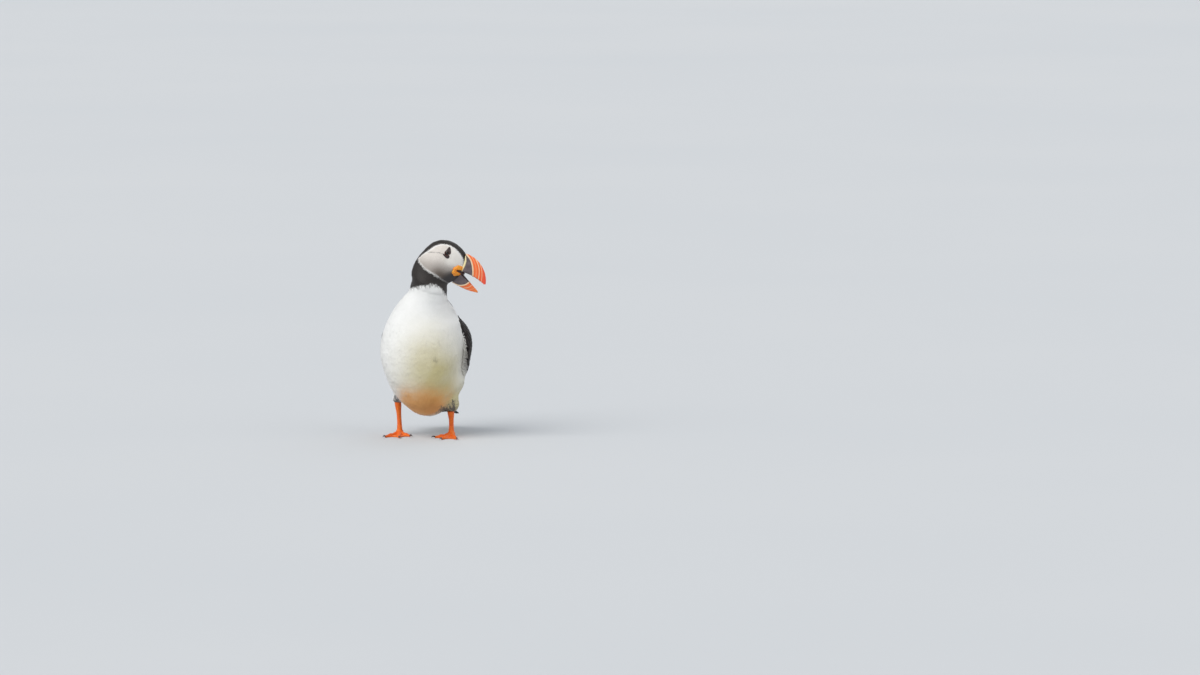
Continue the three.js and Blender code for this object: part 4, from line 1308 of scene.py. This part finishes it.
def horn(name, tip_colour, middle_colour):
    finish = Finish(name, roughness=0.36, coat_weight=0.12, coat_roughness=0.25)
    cloud = finish.noise(5.0, 3.0)
    growth = finish.noise(0.5, 2.0)
    slate = finish.mix(cloud.step(0.3, 0.75), SLATE, SLATE_LIGHT)
    reach = finish.attribute("reach")
    bright = finish.mix((reach + cloud * 0.3 - 0.15).step(0.5, 1.0), middle_colour, tip_colour)
    colour = finish.mix(finish.attribute("plate"), bright, slate)
    colour = finish.mix(finish.attribute("pale").step(0.2, 0.9), colour, PALE_HORN)
    colour = finish.mix(finish.attribute("cere"), colour, CERE_YELLOW)
    finish.set(base_color=colour, roughness=0.3 + cloud * 0.18 + finish.attribute("cere") * 0.15)
    pores = finish.cells(0.8).step(0.2, 0.5) * finish.attribute("cere")
    finish.set(normal=finish.bump(growth * 0.5 + cloud * 0.3 + pores, 0.09, 0.6))
    return finish


upper_horn = horn("upper_bill_horn", RED, ORANGE)
lower_horn = horn("lower_bill_horn", LOWER_TIP, ORANGE)
upper_half = bill_half(upper_edge, culmen, 0.16, 96)
lower_half = bill_half(lower_edge, keel, 0.45, 72, base=-0.06)
upper_mesh = shaped_horn("bill_upper", upper_half, UPPER_RIDGE, UPPER_GROOVES, CERE_LINE)
lower_mesh = shaped_horn("bill_lower", lower_half, LOWER_RIDGE, LOWER_GROOVES)
done(mesh_piece("bill_upper", upper_mesh, upper_horn), "bill_orange",
     "cere", "bill_upper_plate", "bill_upper_tip")
done(mesh_piece("bill_lower", lower_mesh, lower_horn), "bill_orange",
     "bill_lower_plate", "bill_lower_tip")

# %% [markdown]
# ### Inside the mouth
# The bird calls with its bill open, so the mouth shows: a slim orange tongue with a ridge along it, and
# moist skin that closes the throat between the two halves, painted near-black as the shadow inside the
# mouth. The tongue is the frame's own form, subdivided until it is smooth. The lining is one soft cushion,
# mostly hidden.

# %% Tongue and lining
tongue_skin = mottled("mouth_skin", 1.6, 3.0, (0.62, 0.16, 0.05), (0.8, 0.33, 0.12), 0.15, 0.6,
                      roughness=0.3, subsurface_weight=0.15, coat_weight=0.3)
# near-black painted shadow for the lining that closes the open mouth
throat_skin = mottled("throat_skin", 1.8, 2.0, (0.02, 0.006, 0.005), (0.06, 0.015, 0.01), 0.2, 0.7,
                      roughness=0.35, coat_weight=0.3)


def smooth_copy(name):
    """The merged form of a CAD node, subdivided until it is smooth."""
    detail = {"levels": 2, "render_levels": 2}
    return with_modifiers(name, merged([name]), ("SUBSURF", detail))


def ball(centre, radii, pole, rows, sides, cap):
    """A closed egg shape in the head's axes, of rings round the axis with the number pole."""
    loops = []
    for polar in np.linspace(cap, math.pi - cap, rows):
        along, across = math.cos(polar), math.sin(polar)
        loop = []
        for a in np.linspace(0, 2 * math.pi, sides, endpoint=False):
            place = [across * math.cos(a), across * math.sin(a)]
            place.insert(pole, along)
            loop.append(np.array(centre) + np.array(radii) * place)
        loops.append(loop)
    return closed_tube(loops)


done(mesh_piece("tongue_skin", smooth_copy("tongue"), tongue_skin), "mouth_flesh", "tongue")
lining = outward_mesh("throat_lining", *ball((30.4, 0, -4.6), (3.4, 6.3, 2.6), 0, 24, 32, 0.06))
# the lining carries painted shadow
done(mesh_piece("throat_lining", lining, throat_skin), "mouth_flesh")

# %% [markdown]
# ## Eyes
# The eye is small, round and dark brown. Bare red skin rings it, and grey horny plates stand above and
# below, which gives the bird its anxious look. The ball keeps the frame's place and size, so it sits as
# deep in the head as a real one; only its small opening shows. Iris and pupil are stored as the distance
# from the middle of the eye, and a clear coat makes the wet gleam.

# %% Eyeballs, rings and plates
face_tree = BVHTree.FromPolygons([tuple(p) for p in surface_points],
                                 [tuple(face.vertices) for face in surface.polygons])


def on_face(side, x, z):
    """How far out the coat's surface lies at x and z on one side of the head, in mm."""
    start, inwards = from_head([x, side * 40.0, z]), np.array(head_left) * -side
    hit = face_tree.ray_cast(Vector(start), Vector(inwards), 0.04)
    return side * to_head(hit[0])[1] - SWELL if hit[0] else 0.0


eye_finish = Finish("eye", roughness=0.12, specular_ior_level=0.25, coat_weight=0.4, coat_roughness=0.03)
ring_share = eye_finish.attribute("ring")
fibres = eye_finish.noise(0.5, 3.0)
iris = eye_finish.mix(fibres, rgb(0.018, 0.007, 0.004), rgb(0.045, 0.016, 0.009))
eye_finish.set(base_color=eye_finish.mix(ring_share.step(0.5, 0.56), rgb(0.002, 0.002, 0.002), iris))
lid_skin = mottled("red_eye_ring", 0.6, 2.0, (0.045, 0.009, 0.007), (0.1, 0.017, 0.012), 0.1, 0.8,
                   roughness=0.5)
plate_horn = mottled("eye_plate_horn", 1.2, 3.0, (0.022, 0.012, 0.012), (0.045, 0.025, 0.024), 0.1, 0.6,
                     roughness=0.5)
UPPER_PLATE = [(6.4, 15.2), (7.8, 17.6), (9.5, 21.4), (11.4, 20.6), (13.3, 16.6), (12.4, 15.4), (10, 16.8),
               (7.6, 15.8)]
LOWER_PLATE = [(4.6, 12.6), (6.8, 12.4), (8.4, 11.6), (10.6, 11.4), (13.2, 12.2), (13.0, 9.2), (10.6, 8.6),
               (7.2, 10.2)]


def eyeball(side):
    centre, radius = (EYE["x"], side * EYE["y"], EYE["z"]), EYE["radius"]
    points, faces = ball(centre, (radius, side * radius, radius), 1, 40, 48, 0.02)
    mesh = outward_mesh("eye", points, faces)
    store(mesh, "ring", distance_from_eye(points) / EYE["opening"])
    return mesh


RIM_THICKNESS = 0.4
RIM_BEADS = 18


def eye_ring(side):
    """A soft beaded ring of skin on the edge of the opening."""
    loops = []
    for a in np.linspace(0, 2 * math.pi, 72, endpoint=False):
        thick = RIM_THICKNESS + 0.05 * math.cos(RIM_BEADS * a)
        turns = np.linspace(0, 2 * math.pi, 10, endpoint=False)
        reach = EYE["opening"] + 0.12 + thick * np.cos(turns)
        x, z = EYE["x"] + reach * math.cos(a), EYE["z"] + reach * math.sin(a)
        out = max(on_face(side, x.mean(), z.mean()), EYE["y"] + 3.3) - 0.15
        loops.append(np.stack([x, side * (out + thick * np.sin(turns)), z], axis=1))
    return outward_mesh("eye_ring", *closed_tube(loops, joined=True))


def pad(side, outline, height, depth=0.8):
    """A horny pad that follows the face inside an outline of (x, z) knots, domed by a height."""
    edge = through(outline + outline[:1], np.linspace(0, len(outline), 48, endpoint=False))
    middle_point = edge.mean(axis=0)
    upper, lower = [], []
    for share in (1.0, 0.94, 0.8, 0.6, 0.38, 0.16):
        spots = middle_point + (edge - middle_point) * share
        out = np.array([on_face(side, x, z) for x, z in spots])
        dome = height * (1 - share ** 4) + 0.05
        upper.append([np.array([x, side * (o + dome), z]) for (x, z), o in zip(spots, out)])
        lower.append([np.array([x, side * (o - depth), z]) for (x, z), o in zip(spots, out)])
    return outward_mesh("plate", *closed_tube(lower[::-1] + upper))


for side, name in ((1, "left"), (-1, "right")):
    done(mesh_piece(f"eyeball_{name}", eyeball(side), eye_finish), "eye", f"eye_{name}")
    done(mesh_piece(f"eye_rim_{name}", eye_ring(side), lid_skin), "rosette_flesh")
    above, below = pad(side, UPPER_PLATE, 0.55), pad(side, LOWER_PLATE, 0.5)
    done(mesh_piece(f"plate_above_{name}", above, plate_horn), "bill_slate", f"eye_plate_upper_{name}")
    done(mesh_piece(f"plate_below_{name}", below, plate_horn), "bill_slate", f"eye_plate_lower_{name}")

# %% [markdown]
# ### Rosettes
# At each corner of the mouth a wrinkled rosette of orange-yellow skin spreads like a small flower, and
# folds inwards to the dark gape. It is a disc laid on the face, raised to a thick rim, with folds that
# run from its middle to its edge, and a slit from its middle forwards into the mouth, darkened with painted
# shade.

# %% Rosettes
rosette_skin = Finish("rosette_skin", roughness=0.42, subsurface_weight=0.1)
rosette_cloud = rosette_skin.noise(1.4, 3.0)
rosette_colour = rosette_skin.mix(rosette_cloud.step(0.3, 0.7), rgb(0.9, 0.22, 0.012), rgb(0.94, 0.42, 0.025))
# the slit into the mouth is darkened with painted shade
painted_slit_shade = rosette_skin.attribute("slit")
rosette_skin.set(base_color=rosette_skin.mix(painted_slit_shade, rosette_colour, rgb(0.03, 0.006, 0.004)))
rosette_skin.set(normal=rosette_skin.bump(rosette_cloud + rosette_skin.noise(0.4, 2.0) * 0.5, 0.12, 0.7))
ROSETTE_SIZE = (5.7, 6.4)
ROSETTE_SWELL = 2.6
ROSETTE_FOLDS = 13
FOLD_HEIGHT = 0.3
FACE_END = 30.4


def rosette(side):
    rows, sides = 22, 96
    loops, slits = [], []
    for share in np.linspace(1.0, 0.03, rows):
        loop = []
        for a in np.linspace(0, 2 * math.pi, sides, endpoint=False):
            lobe = 1 + 0.05 * math.cos(7 * a + 0.8) + 0.03 * math.cos(3 * a)
            x = ROSETTE["x"] + ROSETTE_SIZE[0] * share * lobe * math.cos(a)
            z = ROSETTE["z"] + ROSETTE_SIZE[1] * share * lobe * math.sin(a) + 0.25 * (x - ROSETTE["x"])
            base = on_face(side, min(x, FACE_END), np.clip(z, -12, 6)) - 0.35 * max(0, x - FACE_END)
            fold = FOLD_HEIGHT * math.cos(ROSETTE_FOLDS * a + 2.2 * share) * math.sin(math.pi * share)
            swell = ROSETTE_SWELL * math.sin(math.pi * min(share ** 0.75, 1)) ** 0.7
            ahead = x - ROSETTE["x"]
            gape = 1.0 + 1.5 * step(ahead, -1.0, 4.5)
            slit = math.exp(-(abs(z - ROSETTE["z"] + 0.1 * ahead) / gape) ** 3) * step(ahead, -2.5, 0.5)
            slit = max(slit, math.exp(-(share / 0.2) ** 2))
            loop.append(np.array([x, side * (base + (swell + fold) * (1 - 0.85 * slit) - 0.2), z]))
            slits.append(slit)
        loops.append(loop)
    backing = [point - np.array([0, side * 2.5, 0]) for point in loops[0]]
    points, faces = closed_tube([backing] + loops)
    mesh = outward_mesh("rosette", points, faces)
    # the slit's share also sets its painted shade
    store(mesh, "slit", step(np.array([0.0] * sides + slits + [0.0, 1.0]), 0.35, 0.8))
    return mesh


for side, name in ((1, "left"), (-1, "right")):
    done(mesh_piece(f"rosette_skin_{name}", rosette(side), rosette_skin), "rosette_flesh", f"rosette_{name}")

# %% [markdown]
# ## Wings and tail
# The folded wings lie over the sides of the back, with their tips beside the root of the tail. Their
# feathers are firm vanes in rows: small coverts at the shoulder, longer ones behind, then secondaries, and
# at the end the long primaries, one above the other. Every vane is a thin closed leaf with a round tip, a
# raised shaft and a slight arch. On a wing, a vane is bent to follow the wing's own surface, which is
# measured on the frame by rays towards a line from the shoulder to the wing tip.

# %% Finish of the vanes
vane_finish = Finish("flight_feathers", roughness=0.5, specular_ior_level=0.16)
vane_tone = vane_finish.attribute("tone")
vane_edge = vane_finish.attribute("fringe")
barbs = vane_finish.attribute("barb").math("SINE")
vane_colour = vane_finish.mix(vane_tone, rgb(0.012, 0.01, 0.01), rgb(0.027, 0.021, 0.018))
vane_colour = vane_finish.mix(vane_edge.step(0.75, 1.0) * 0.4, vane_colour, rgb(0.08, 0.062, 0.05))
vane_finish.set(base_color=vane_colour, roughness=0.42 + vane_edge * 0.2)
vane_finish.set(normal=vane_finish.bump(barbs * 0.5 + vane_finish.noise(0.8, 2.0), 0.05, 0.5))

# %% One vane
LEAF_ACROSS = (-1.0, -0.62, -0.16, 0.0, 0.16, 0.62, 1.0)


def leaf_half_width(t, tip):
    """Half width of a vane as a share of its widest, from its root at 0 to its tip at 1."""
    return (0.45 + 0.55 * step(t, 0, 0.4)) * math.sqrt(max(0.0, 1 - max(0.0, (t - tip) / (1 - tip)) ** 2.2))


def leaf(rows, tip=0.7, thickness=0.28, arch=0.25, shaft=0.22):
    """A closed vane: shares along and across, its lift in mm, and its faces."""
    along = [i / rows for i in range(rows)] + [0.985]
    shape, faces, across = [], [], len(LEAF_ACROSS)
    for top in (1, 0):
        for t in along:
            for a in LEAF_ACROSS:
                lift = -arch * a * a + (thickness if top and abs(a) < 0.9 else 0.0)
                lift += shaft * (1 - 0.7 * t) if top and a == 0 else 0.0
                shape.append((t, a * leaf_half_width(t, tip), lift, abs(a)))
    layer = len(along) * across
    for row in range(len(along) - 1):
        for i in range(across - 1):
            a, b = row * across + i, (row + 1) * across + i
            faces.append((a, b, b + 1, a + 1))
            faces.append((layer + a, layer + a + 1, layer + b + 1, layer + b))
    for row in range(len(along) - 1):
        for i, turn in ((0, 1), (across - 1, -1)):
            a, b = row * across + i, (row + 1) * across + i
            faces.append((a, layer + a, layer + b, b)[::turn])
    for row, turn in ((0, -1), (len(along) - 1, 1)):
        for i in range(across - 1):
            a = row * across + i
            faces.append((a, layer + a, layer + a + 1, a + 1)[::turn])
    return np.array(shape), faces


def vane_mesh(name, vanes, columns=24):
    """Joins vanes, each given as its points in metres, its shape, its faces and its tone."""
    faces, flat, start = [], [], 0
    for number, (spots, shape, own_faces, _) in enumerate(vanes):
        faces += [[i + start for i in face] for face in own_faces]
        start += len(spots)
        corner = (number % columns + 0.1, number // columns + 0.1)
        flat.append((corner + 0.8 * np.stack([0.5 + shape[:, 1] / 2, shape[:, 0]], axis=1)) / columns)
    mesh = turned_outwards(raw_mesh(name, np.concatenate([vane[0] for vane in vanes]), faces))
    along, _, _, aside = np.concatenate([vane[1] for vane in vanes]).T
    store(mesh, "tone", np.repeat([vane[3] for vane in vanes], [len(vane[0]) for vane in vanes]))
    store(mesh, "fringe", np.maximum(aside, step(along, 0.86, 1.0)))
    store(mesh, "barb", along * 60 + aside * 16)
    layer = mesh.uv_layers.new(name="OFBake")
    layer.data.foreach_set("uv", np.concatenate(flat)[whole_numbers(mesh.loops, "vertex_index")].ravel())
    return mesh


print("one long vane has", len(leaf(14)[1]), "faces")

# %% [markdown]
# ### Following the wing
# Rays towards the wing's own line find its surface all round it. The first and last ray that meet the
# wing at each station are its front and back edge. A place on the wing is then two shares, down its length
# and across it, and any vane laid out flat on those two shares bends with the wing.

# %% The surface of a wing
STATIONS = 60
TURNS = 72
RAY_TURNS = np.linspace(math.radians(50), math.radians(185), 136)
RAY_START = 0.09
RAY_LENGTH = 0.085
FEWEST_HITS = 6
SHOULDER_SINK = 2.6


def wing_line():
    """The line from the shoulder to the wing tip, in the middle of the back."""
    low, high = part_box("wing_left")
    far_low, far_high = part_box("primaries_left")
    middle_x = (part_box("wing_right")[0].x + high.x) / 2
    start = np.array([middle_x, lerp(low.y, high.y, 0.04), lerp(low.z, high.z, 0.9)])
    end = np.array([middle_x, far_high.y + 0.004, far_low.z - 0.003])
    return start, end


def wing_map(side, names):
    """Grid of surface points and normals of a wing, over its length and from its front to its back edge."""
    search = tree_of(names)
    start, end = wing_line()
    towards_belly = np.cross(unit(end - start), [1.0, 0, 0])
    towards_belly *= -np.sign(towards_belly[1])

    def outwards(turn):
        return towards_belly * math.cos(turn) + np.array([side, 0, 0]) * math.sin(turn)

    stations = []
    for t in np.linspace(-0.12, 1.0, STATIONS):
        base = start + (end - start) * t
        hits = []
        for turn in RAY_TURNS:
            out = outwards(turn)
            hit = search.ray_cast(Vector(base + out * RAY_START), Vector(-out), RAY_LENGTH)
            if hit[0]:
                hits.append((turn, np.linalg.norm(np.array(hit[0]) - base)))
        if len(hits) >= FEWEST_HITS:
            stations.append((base, np.array(hits)))
    edges = np.array([hits[[0, -1], 0] for _, hits in stations]).T
    soft = [np.convolve(np.pad(edge, 3, mode="edge"), np.ones(7) / 7, "valid") for edge in edges]
    grid = np.zeros((len(stations), TURNS, 3))
    for row, (base, hits) in enumerate(stations):
        for i, turn in enumerate(np.linspace(soft[0][row], soft[1][row], TURNS)):
            grid[row, i] = base + outwards(turn) * np.interp(turn, *hits.T)
    for _ in range(6):
        inner = grid.copy()
        inner[1:-1] = (grid[:-2] + grid[2:] + 2 * grid[1:-1]) / 4
        inner[:, 1:-1] = (inner[:, :-2] + inner[:, 2:] + 2 * inner[:, 1:-1]) / 4
        grid = inner
    down, across = np.gradient(grid, axis=0), np.gradient(grid, axis=1)
    normal = unit(np.cross(down, across) * side)
    normal *= np.sign((normal[len(grid) // 2, TURNS // 2] * [side, 0.6, 0.4]).sum())
    length = np.linalg.norm(np.diff(grid[:, TURNS // 2], axis=0), axis=1).sum() / MM
    width = np.linalg.norm(np.diff(grid, axis=1), axis=2).sum(axis=1) / MM
    return {"grid": grid, "normal": normal, "length": length, "width": width}


def width_at(wing, down):
    """The width of a wing in mm at a share of its length."""
    return np.interp(np.clip(down, 0, 1), np.linspace(0, 1, len(wing["width"])), wing["width"])


def on_wing(wing, s, c, lift):
    """Points at shares s down and c across the wing, lifted by some mm; it runs on past its ends."""
    rows, columns, _ = wing["grid"].shape
    at, across = np.asarray(s) * (rows - 1), np.asarray(c) * (columns - 1)
    row = np.clip(at.astype(int), 0, rows - 2)
    column = np.clip(across.astype(int), 0, columns - 2)
    v = np.clip(at - row, -3, 3)[..., None]
    u = np.clip(across - column, -6, 6)[..., None]
    spots = []
    for field in (wing["grid"], wing["normal"]):
        near = lerp(field[row, column], field[row, column + 1], u)
        far = lerp(field[row + 1, column], field[row + 1, column + 1], u)
        spots.append(lerp(near, far, v))
    return spots[0] + unit(spots[1]) * np.asarray(lift)[..., None] * MM


def wing_vane(wing, s, c, length, width, slant, lift, rise, chance, shape):
    """A vane rooted at (s, c), in mm long and wide, slanting across by some mm, rising towards its tip."""
    form, faces = shape
    t, a, own_lift, _ = form.T
    down = s + length * t / wing["length"]
    over = c + (slant * t + width / 2 * a) / width_at(wing, down)
    at_shoulder = step(down, -0.1, 0.16)
    sunk = SHOULDER_SINK * (1 - at_shoulder)
    spots = on_wing(wing, down, over, own_lift + (lift + rise * t) * at_shoulder - sunk)
    return spots, form, faces, chance.uniform(0, 1)


wings = {"left": wing_map(1, ["wing_left", "primaries_left"]),
         "right": wing_map(-1, ["wing_right", "primaries_right"])}
for name, wing in wings.items():
    print(name, "wing", round(wing["length"]), "mm long and", round(wing["width"].max()), "mm wide")

# %% Coverts, secondaries and primaries
PRIMARIES = 9
SECONDARIES = 13
SCAPULARS = 17
COVERT_ROWS = [(-0.03, 7.5, 5.4), (0.02, 7.5, 5.4), (0.07, 8, 5.6), (0.12, 8.5, 5.8), (0.17, 9, 6.0),
               (0.22, 9.5, 6.2), (0.275, 10.5, 6.4), (0.335, 12, 6.8), (0.40, 17, 7.2)]
covert_leaf = leaf(6, tip=0.5, thickness=0.2, arch=0.35, shaft=0.12)
long_leaf = leaf(12, tip=0.8, thickness=0.28, arch=0.4, shaft=0.25)
scapular_leaf = leaf(8, tip=0.55, thickness=0.22, arch=0.4, shaft=0.15)


def wing_feathers(name, wing, chance):
    """Rows laid from the wing tip up to the shoulder, so that each row covers the roots of the next."""
    vanes = []

    def lay(*how):
        vanes.append(wing_vane(wing, *how))

    for i in range(PRIMARIES):
        c = 0.16 + 0.04 * i
        s = 0.6 + 0.012 * i
        length = wing["length"] * (1.0 - s) * (0.985 - 0.035 * i)
        lay(s, c, length, 6.4 + 0.2 * i, -0.2 + 0.4 * i, 0.1 + 0.12 * i, 0.4, chance, long_leaf)
    for i in range(SECONDARIES):
        c = 0.16 + 0.062 * i
        s = 0.455 + 0.002 * i
        length = 40 + 1.4 * i + chance.uniform(-0.8, 0.8)
        lay(s, c, length, 9.5, 1.5, 0.7 + 0.03 * i, 0.5, chance, long_leaf)
    for number, (s, length, width) in enumerate(reversed(COVERT_ROWS)):
        count = int(width_at(wing, s) / (width * 0.62))
        lift = 0.9 + 0.02 * number
        for i in range(count + 1):
            c = 0.07 + 0.9 * (i + 0.5 * (number % 2)) / (count + 0.5)
            if c > 0.45 + 12 * (s + 0.03):
                break
            place = s + chance.uniform(-0.006, 0.006)
            lay(place, c, length * chance.uniform(0.93, 1.05), width, 0.8, lift, 0.45, chance, covert_leaf)
    for i in range(SCAPULARS):
        s = 0.78 - 0.042 * i
        for c in (0.9, 0.99):
            length = lerp(11, 22, step(s, -0.1, 0.5)) * chance.uniform(0.95, 1.05)
            lay(s, c, length, 8.5, 2.2, 1.25, 0.5, chance, scapular_leaf)
    return vane_mesh(f"wing_feathers_{name}", vanes)


def wing_base(wing):
    """The dark body of the wing under its vanes: the frame's form, drawn in a little and smoothed."""
    mesh = one_skin("wing", merged(["wing_" + wing, "primaries_" + wing], SWELL), 0.9, 6)
    points = point_array(mesh)
    start, end = wing_line()
    down = (points - start) @ (end - start) / ((end - start) @ (end - start))
    outwards = unit(points - start - down[:, None] * (end - start))
    sunk_in = (SHOULDER_SINK + 0.6) * (1 - step(down, -0.1, 0.16))
    shrunk = points - point_array(mesh, "normal") * (SWELL + 0.3) * MM
    return reshaped(mesh, shrunk - outwards * sunk_in[:, None] * MM)


for name, wing in wings.items():
    chance = np.random.default_rng(23)
    base = mesh_piece(f"wing_base_{name}", wing_base(name), vane_finish)
    done(base, "black_plumage", f"wing_{name}", f"primaries_{name}")
    done(mesh_piece(f"wing_feathers_{name}", wing_feathers(name, wing, chance), vane_finish), "black_plumage")

# %% [markdown]
# ### Flank feathers over the wing's front
# The front of a folded wing is tucked under the flank. Loose white feathers root just ahead of it, lie
# back over its edge and turn brownish towards their tips, partly their own colour and partly painted shade,
# so the wing comes out of the white softly. They follow the same map of the wing, rooted a little before
# its front edge.

# %% Flank feathers
FRINGE_ROWS = [(-0.15, 14, 0.1, 3.4), (-0.11, 13.5, 0.2, 2.9), (-0.07, 12.5, 0.36, 2.4),
               (-0.03, 10.5, 0.5, 2.0)]
FRINGE_REACH = [(0.0, 0.55), (0.08, 0.75), (0.2, 1.0), (0.36, 0.95), (0.5, 0.6), (0.62, 0.5), (0.86, 0.35)]
lock_leaf = leaf(5, tip=0.4, thickness=0.16, arch=0.15, shaft=0.05)


def flank_fringe(name, wing, chance):
    vanes, shades = [], []
    for c, length, shade, sunk in reversed(FRINGE_ROWS):
        for s in np.arange(0.0, 0.86, 0.0112):
            own_length = length * chance.uniform(0.8, 1.15) * float(curve(FRINGE_REACH, s))
            slant = own_length * chance.uniform(0.36, 0.58)
            dark = shade * chance.uniform(0.5, 1.4) * (0.45 + step(s, 0.12, 0.4))
            across = c + chance.uniform(-0.03, 0.03)
            vanes.append(wing_vane(
                wing, s, across, own_length, 2.6, slant, -sunk, sunk + 1.0, chance, lock_leaf))
            along = lock_leaf[0][:, 0]
            shades += list(np.clip(dark * step(along, 0.25, 0.95), 0, 0.85))
    mesh = vane_mesh(f"flank_fringe_{name}", vanes, 32)
    # dark share of the tips, stored as black: brownish tips, partly their own colour and partly painted shade
    store(mesh, "black", shades)
    marks = markings(point_array(mesh))
    # the flank brown, partly painted shade, and the belly's painted green shade reach these feathers too
    for name in ("smoke", "grassy"):
        store(mesh, name, marks[name])
    return mesh


for name, wing in wings.items():
    mesh = flank_fringe(name, wing, np.random.default_rng(31))
    done(mesh_piece(mesh.name, mesh, coat_finish), "white_plumage")

# %% [markdown]
# ### The tail
# A short tail of sixteen firm black feathers, nearly square at its end. They fan from one root, the middle
# pair on top, and the outer ones a little lower and shorter.

# %% Tail feathers
TAIL_FEATHERS = 16
TAIL_ROOT = 9


def tail_feathers(chance):
    root, tip = inside("tail", 0.5, 0.02, 0.8), inside("tail", 0.5, 1.0, 0.1)
    length = np.linalg.norm(tip - root) / MM
    along, across = unit(tip - root), np.array([1.0, 0, 0])
    up = np.cross(across, along)
    form, faces = leaf(12, tip=0.82, thickness=0.3, arch=0.3, shaft=0.3)
    t, a, lift, _ = form.T
    middle_one = (TAIL_FEATHERS - 1) / 2
    vanes = []
    for i in sorted(range(TAIL_FEATHERS), key=lambda i: -abs(i - middle_one)):
        share = (i - middle_one) / middle_one
        fan = share * math.radians(15 if share < 0 else 12)
        own_length = TAIL_ROOT + length * (0.99 - 0.1 * share * share) * chance.uniform(0.99, 1.01)
        heading = along * math.cos(fan) + across * math.sin(fan)
        start = root + (across * share * 5.5 - up * abs(share) ** 1.5 * 2.2 - along * TAIL_ROOT) * MM
        ahead = heading * (own_length * t * MM)[:, None]
        aside = np.cross(heading, up) * (a * 3.3 * MM)[:, None]
        above = up * ((lift - 1.05 * abs(share) - 0.6) * MM)[:, None]
        vanes.append((start + ahead + aside + above, form, faces, chance.uniform(0, 1)))
    return vane_mesh("tail_feathers", vanes, 8)


tail = tail_feathers(np.random.default_rng(5))
done(mesh_piece("tail_feathers", tail, vane_finish), "black_plumage", "tail")

# %% [markdown]
# ## Legs and feet
# The legs are bright orange-red, with rings of scutes down the front, and the feet have three webbed toes
# with dark, hooked claws. Leg and foot are one skin: the frame's solids are merged, remeshed finely and
# smoothed, and the scutes are raised out of the mesh across each toe and round each leg. The web between
# the toes stays thin, with fine wrinkles. The soles stay flat on the floor.

# %% Skin of the legs
leg_skin = Finish("leg_skin", roughness=0.42, specular_ior_level=0.35, coat_weight=0.05, coat_roughness=0.3)
leg_cloud = leg_skin.noise(4.0, 3.0)
scale_net = leg_skin.cells(0.75, "DISTANCE_TO_EDGE").step(0.02, 0.22)
leg_colour = leg_skin.mix(leg_cloud.step(0.3, 0.72), rgb(0.94, 0.14, 0.006), rgb(1.0, 0.24, 0.012))
leg_colour = leg_skin.mix((1 - scale_net) * 0.45, leg_colour, rgb(0.55, 0.07, 0.015))
# painted shade in the creases between the scutes
leg_colour = leg_skin.mix(leg_skin.attribute("joint") * 0.35, leg_colour, rgb(0.4, 0.08, 0.03))
leg_skin.set(base_color=leg_colour, roughness=0.36 + leg_cloud * 0.2)
leg_skin.set(normal=leg_skin.bump(scale_net + leg_cloud * 0.3, 0.12, 0.7))
claw_horn = mottled("claw_horn", 1.5, 3.0, (0.012, 0.01, 0.01), (0.06, 0.05, 0.048), 0.06, 0.5, (1, 1, 3),
                    roughness=0.3, coat_weight=0.3)
TOE_NAMES = ("inner", "middle", "outer")
SCUTE = 1.55
LEG_SCUTE_HEIGHT = 0.3
TOE_SCUTE_HEIGHT = 0.28
LEG_SWELL = 0.2


def rungs(place):
    """Rounded steps, one for each scute, from 0 in the creases to 1."""
    return np.abs(np.sin(math.pi * place / SCUTE)) ** 0.6


def leg_mesh(side):
    mesh = one_skin("leg", merged([f"tarsus_{side}", f"foot_{side}"], LEG_SWELL), 0.42, 4)
    points = point_array(mesh)
    normals = point_array(mesh, "normal")
    low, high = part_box(f"tarsus_{side}")
    ankle = np.array([(low.x + high.x) / 2, (low.y + high.y) / 2, low.z])
    height = points[:, 2] / MM
    up_leg = step(height, 4.5, 8)
    around = np.arctan2(points[:, 0] - ankle[0], -(points[:, 1] - ankle[1]))
    before = step(np.cos(around), 0.1, 0.7)
    ring = rungs(height)
    relief = up_leg * before * LEG_SCUTE_HEIGHT * (ring - 0.5)
    shade = up_leg * before * (1 - ring)
    for toe in TOE_NAMES:
        run = unit((np.array(box_middle(f"claw_{toe}_{side}")) - ankle)[:2])
        offset = points[:, :2] - ankle[:2]
        along = offset @ run / MM
        aside = np.abs(offset[:, 0] * run[1] - offset[:, 1] * run[0]) / MM
        on_toe = (1 - step(aside, 1.6, 2.6)) * (1 - up_leg) * step(along, 3, 6)
        on_toe *= step(normals[:, 2], 0.0, 0.5)
        rung = rungs(along)
        relief = relief + on_toe * TOE_SCUTE_HEIGHT * (rung - 0.5)
        shade = np.maximum(shade, on_toe * (1 - rung))
    moved = points + normals * (relief - LEG_SWELL)[:, None] * MM
    moved[:, 2] = np.where(points[:, 2] < 0.25 * MM, 0.0, np.maximum(moved[:, 2], 0.0))
    reshaped(mesh, moved)
    # the creases between the scutes carry painted shade
    store(mesh, "joint", shade)
    return mesh


for side in ("left", "right"):
    done(mesh_piece(f"leg_{side}", leg_mesh(side), leg_skin), "leg_skin", f"tarsus_{side}", f"foot_{side}")
    for toe in TOE_NAMES:
        node = f"claw_{toe}_{side}"
        done(mesh_piece(f"{toe}_claw_{side}", smooth_copy(node), claw_horn), "claw_horn", node)
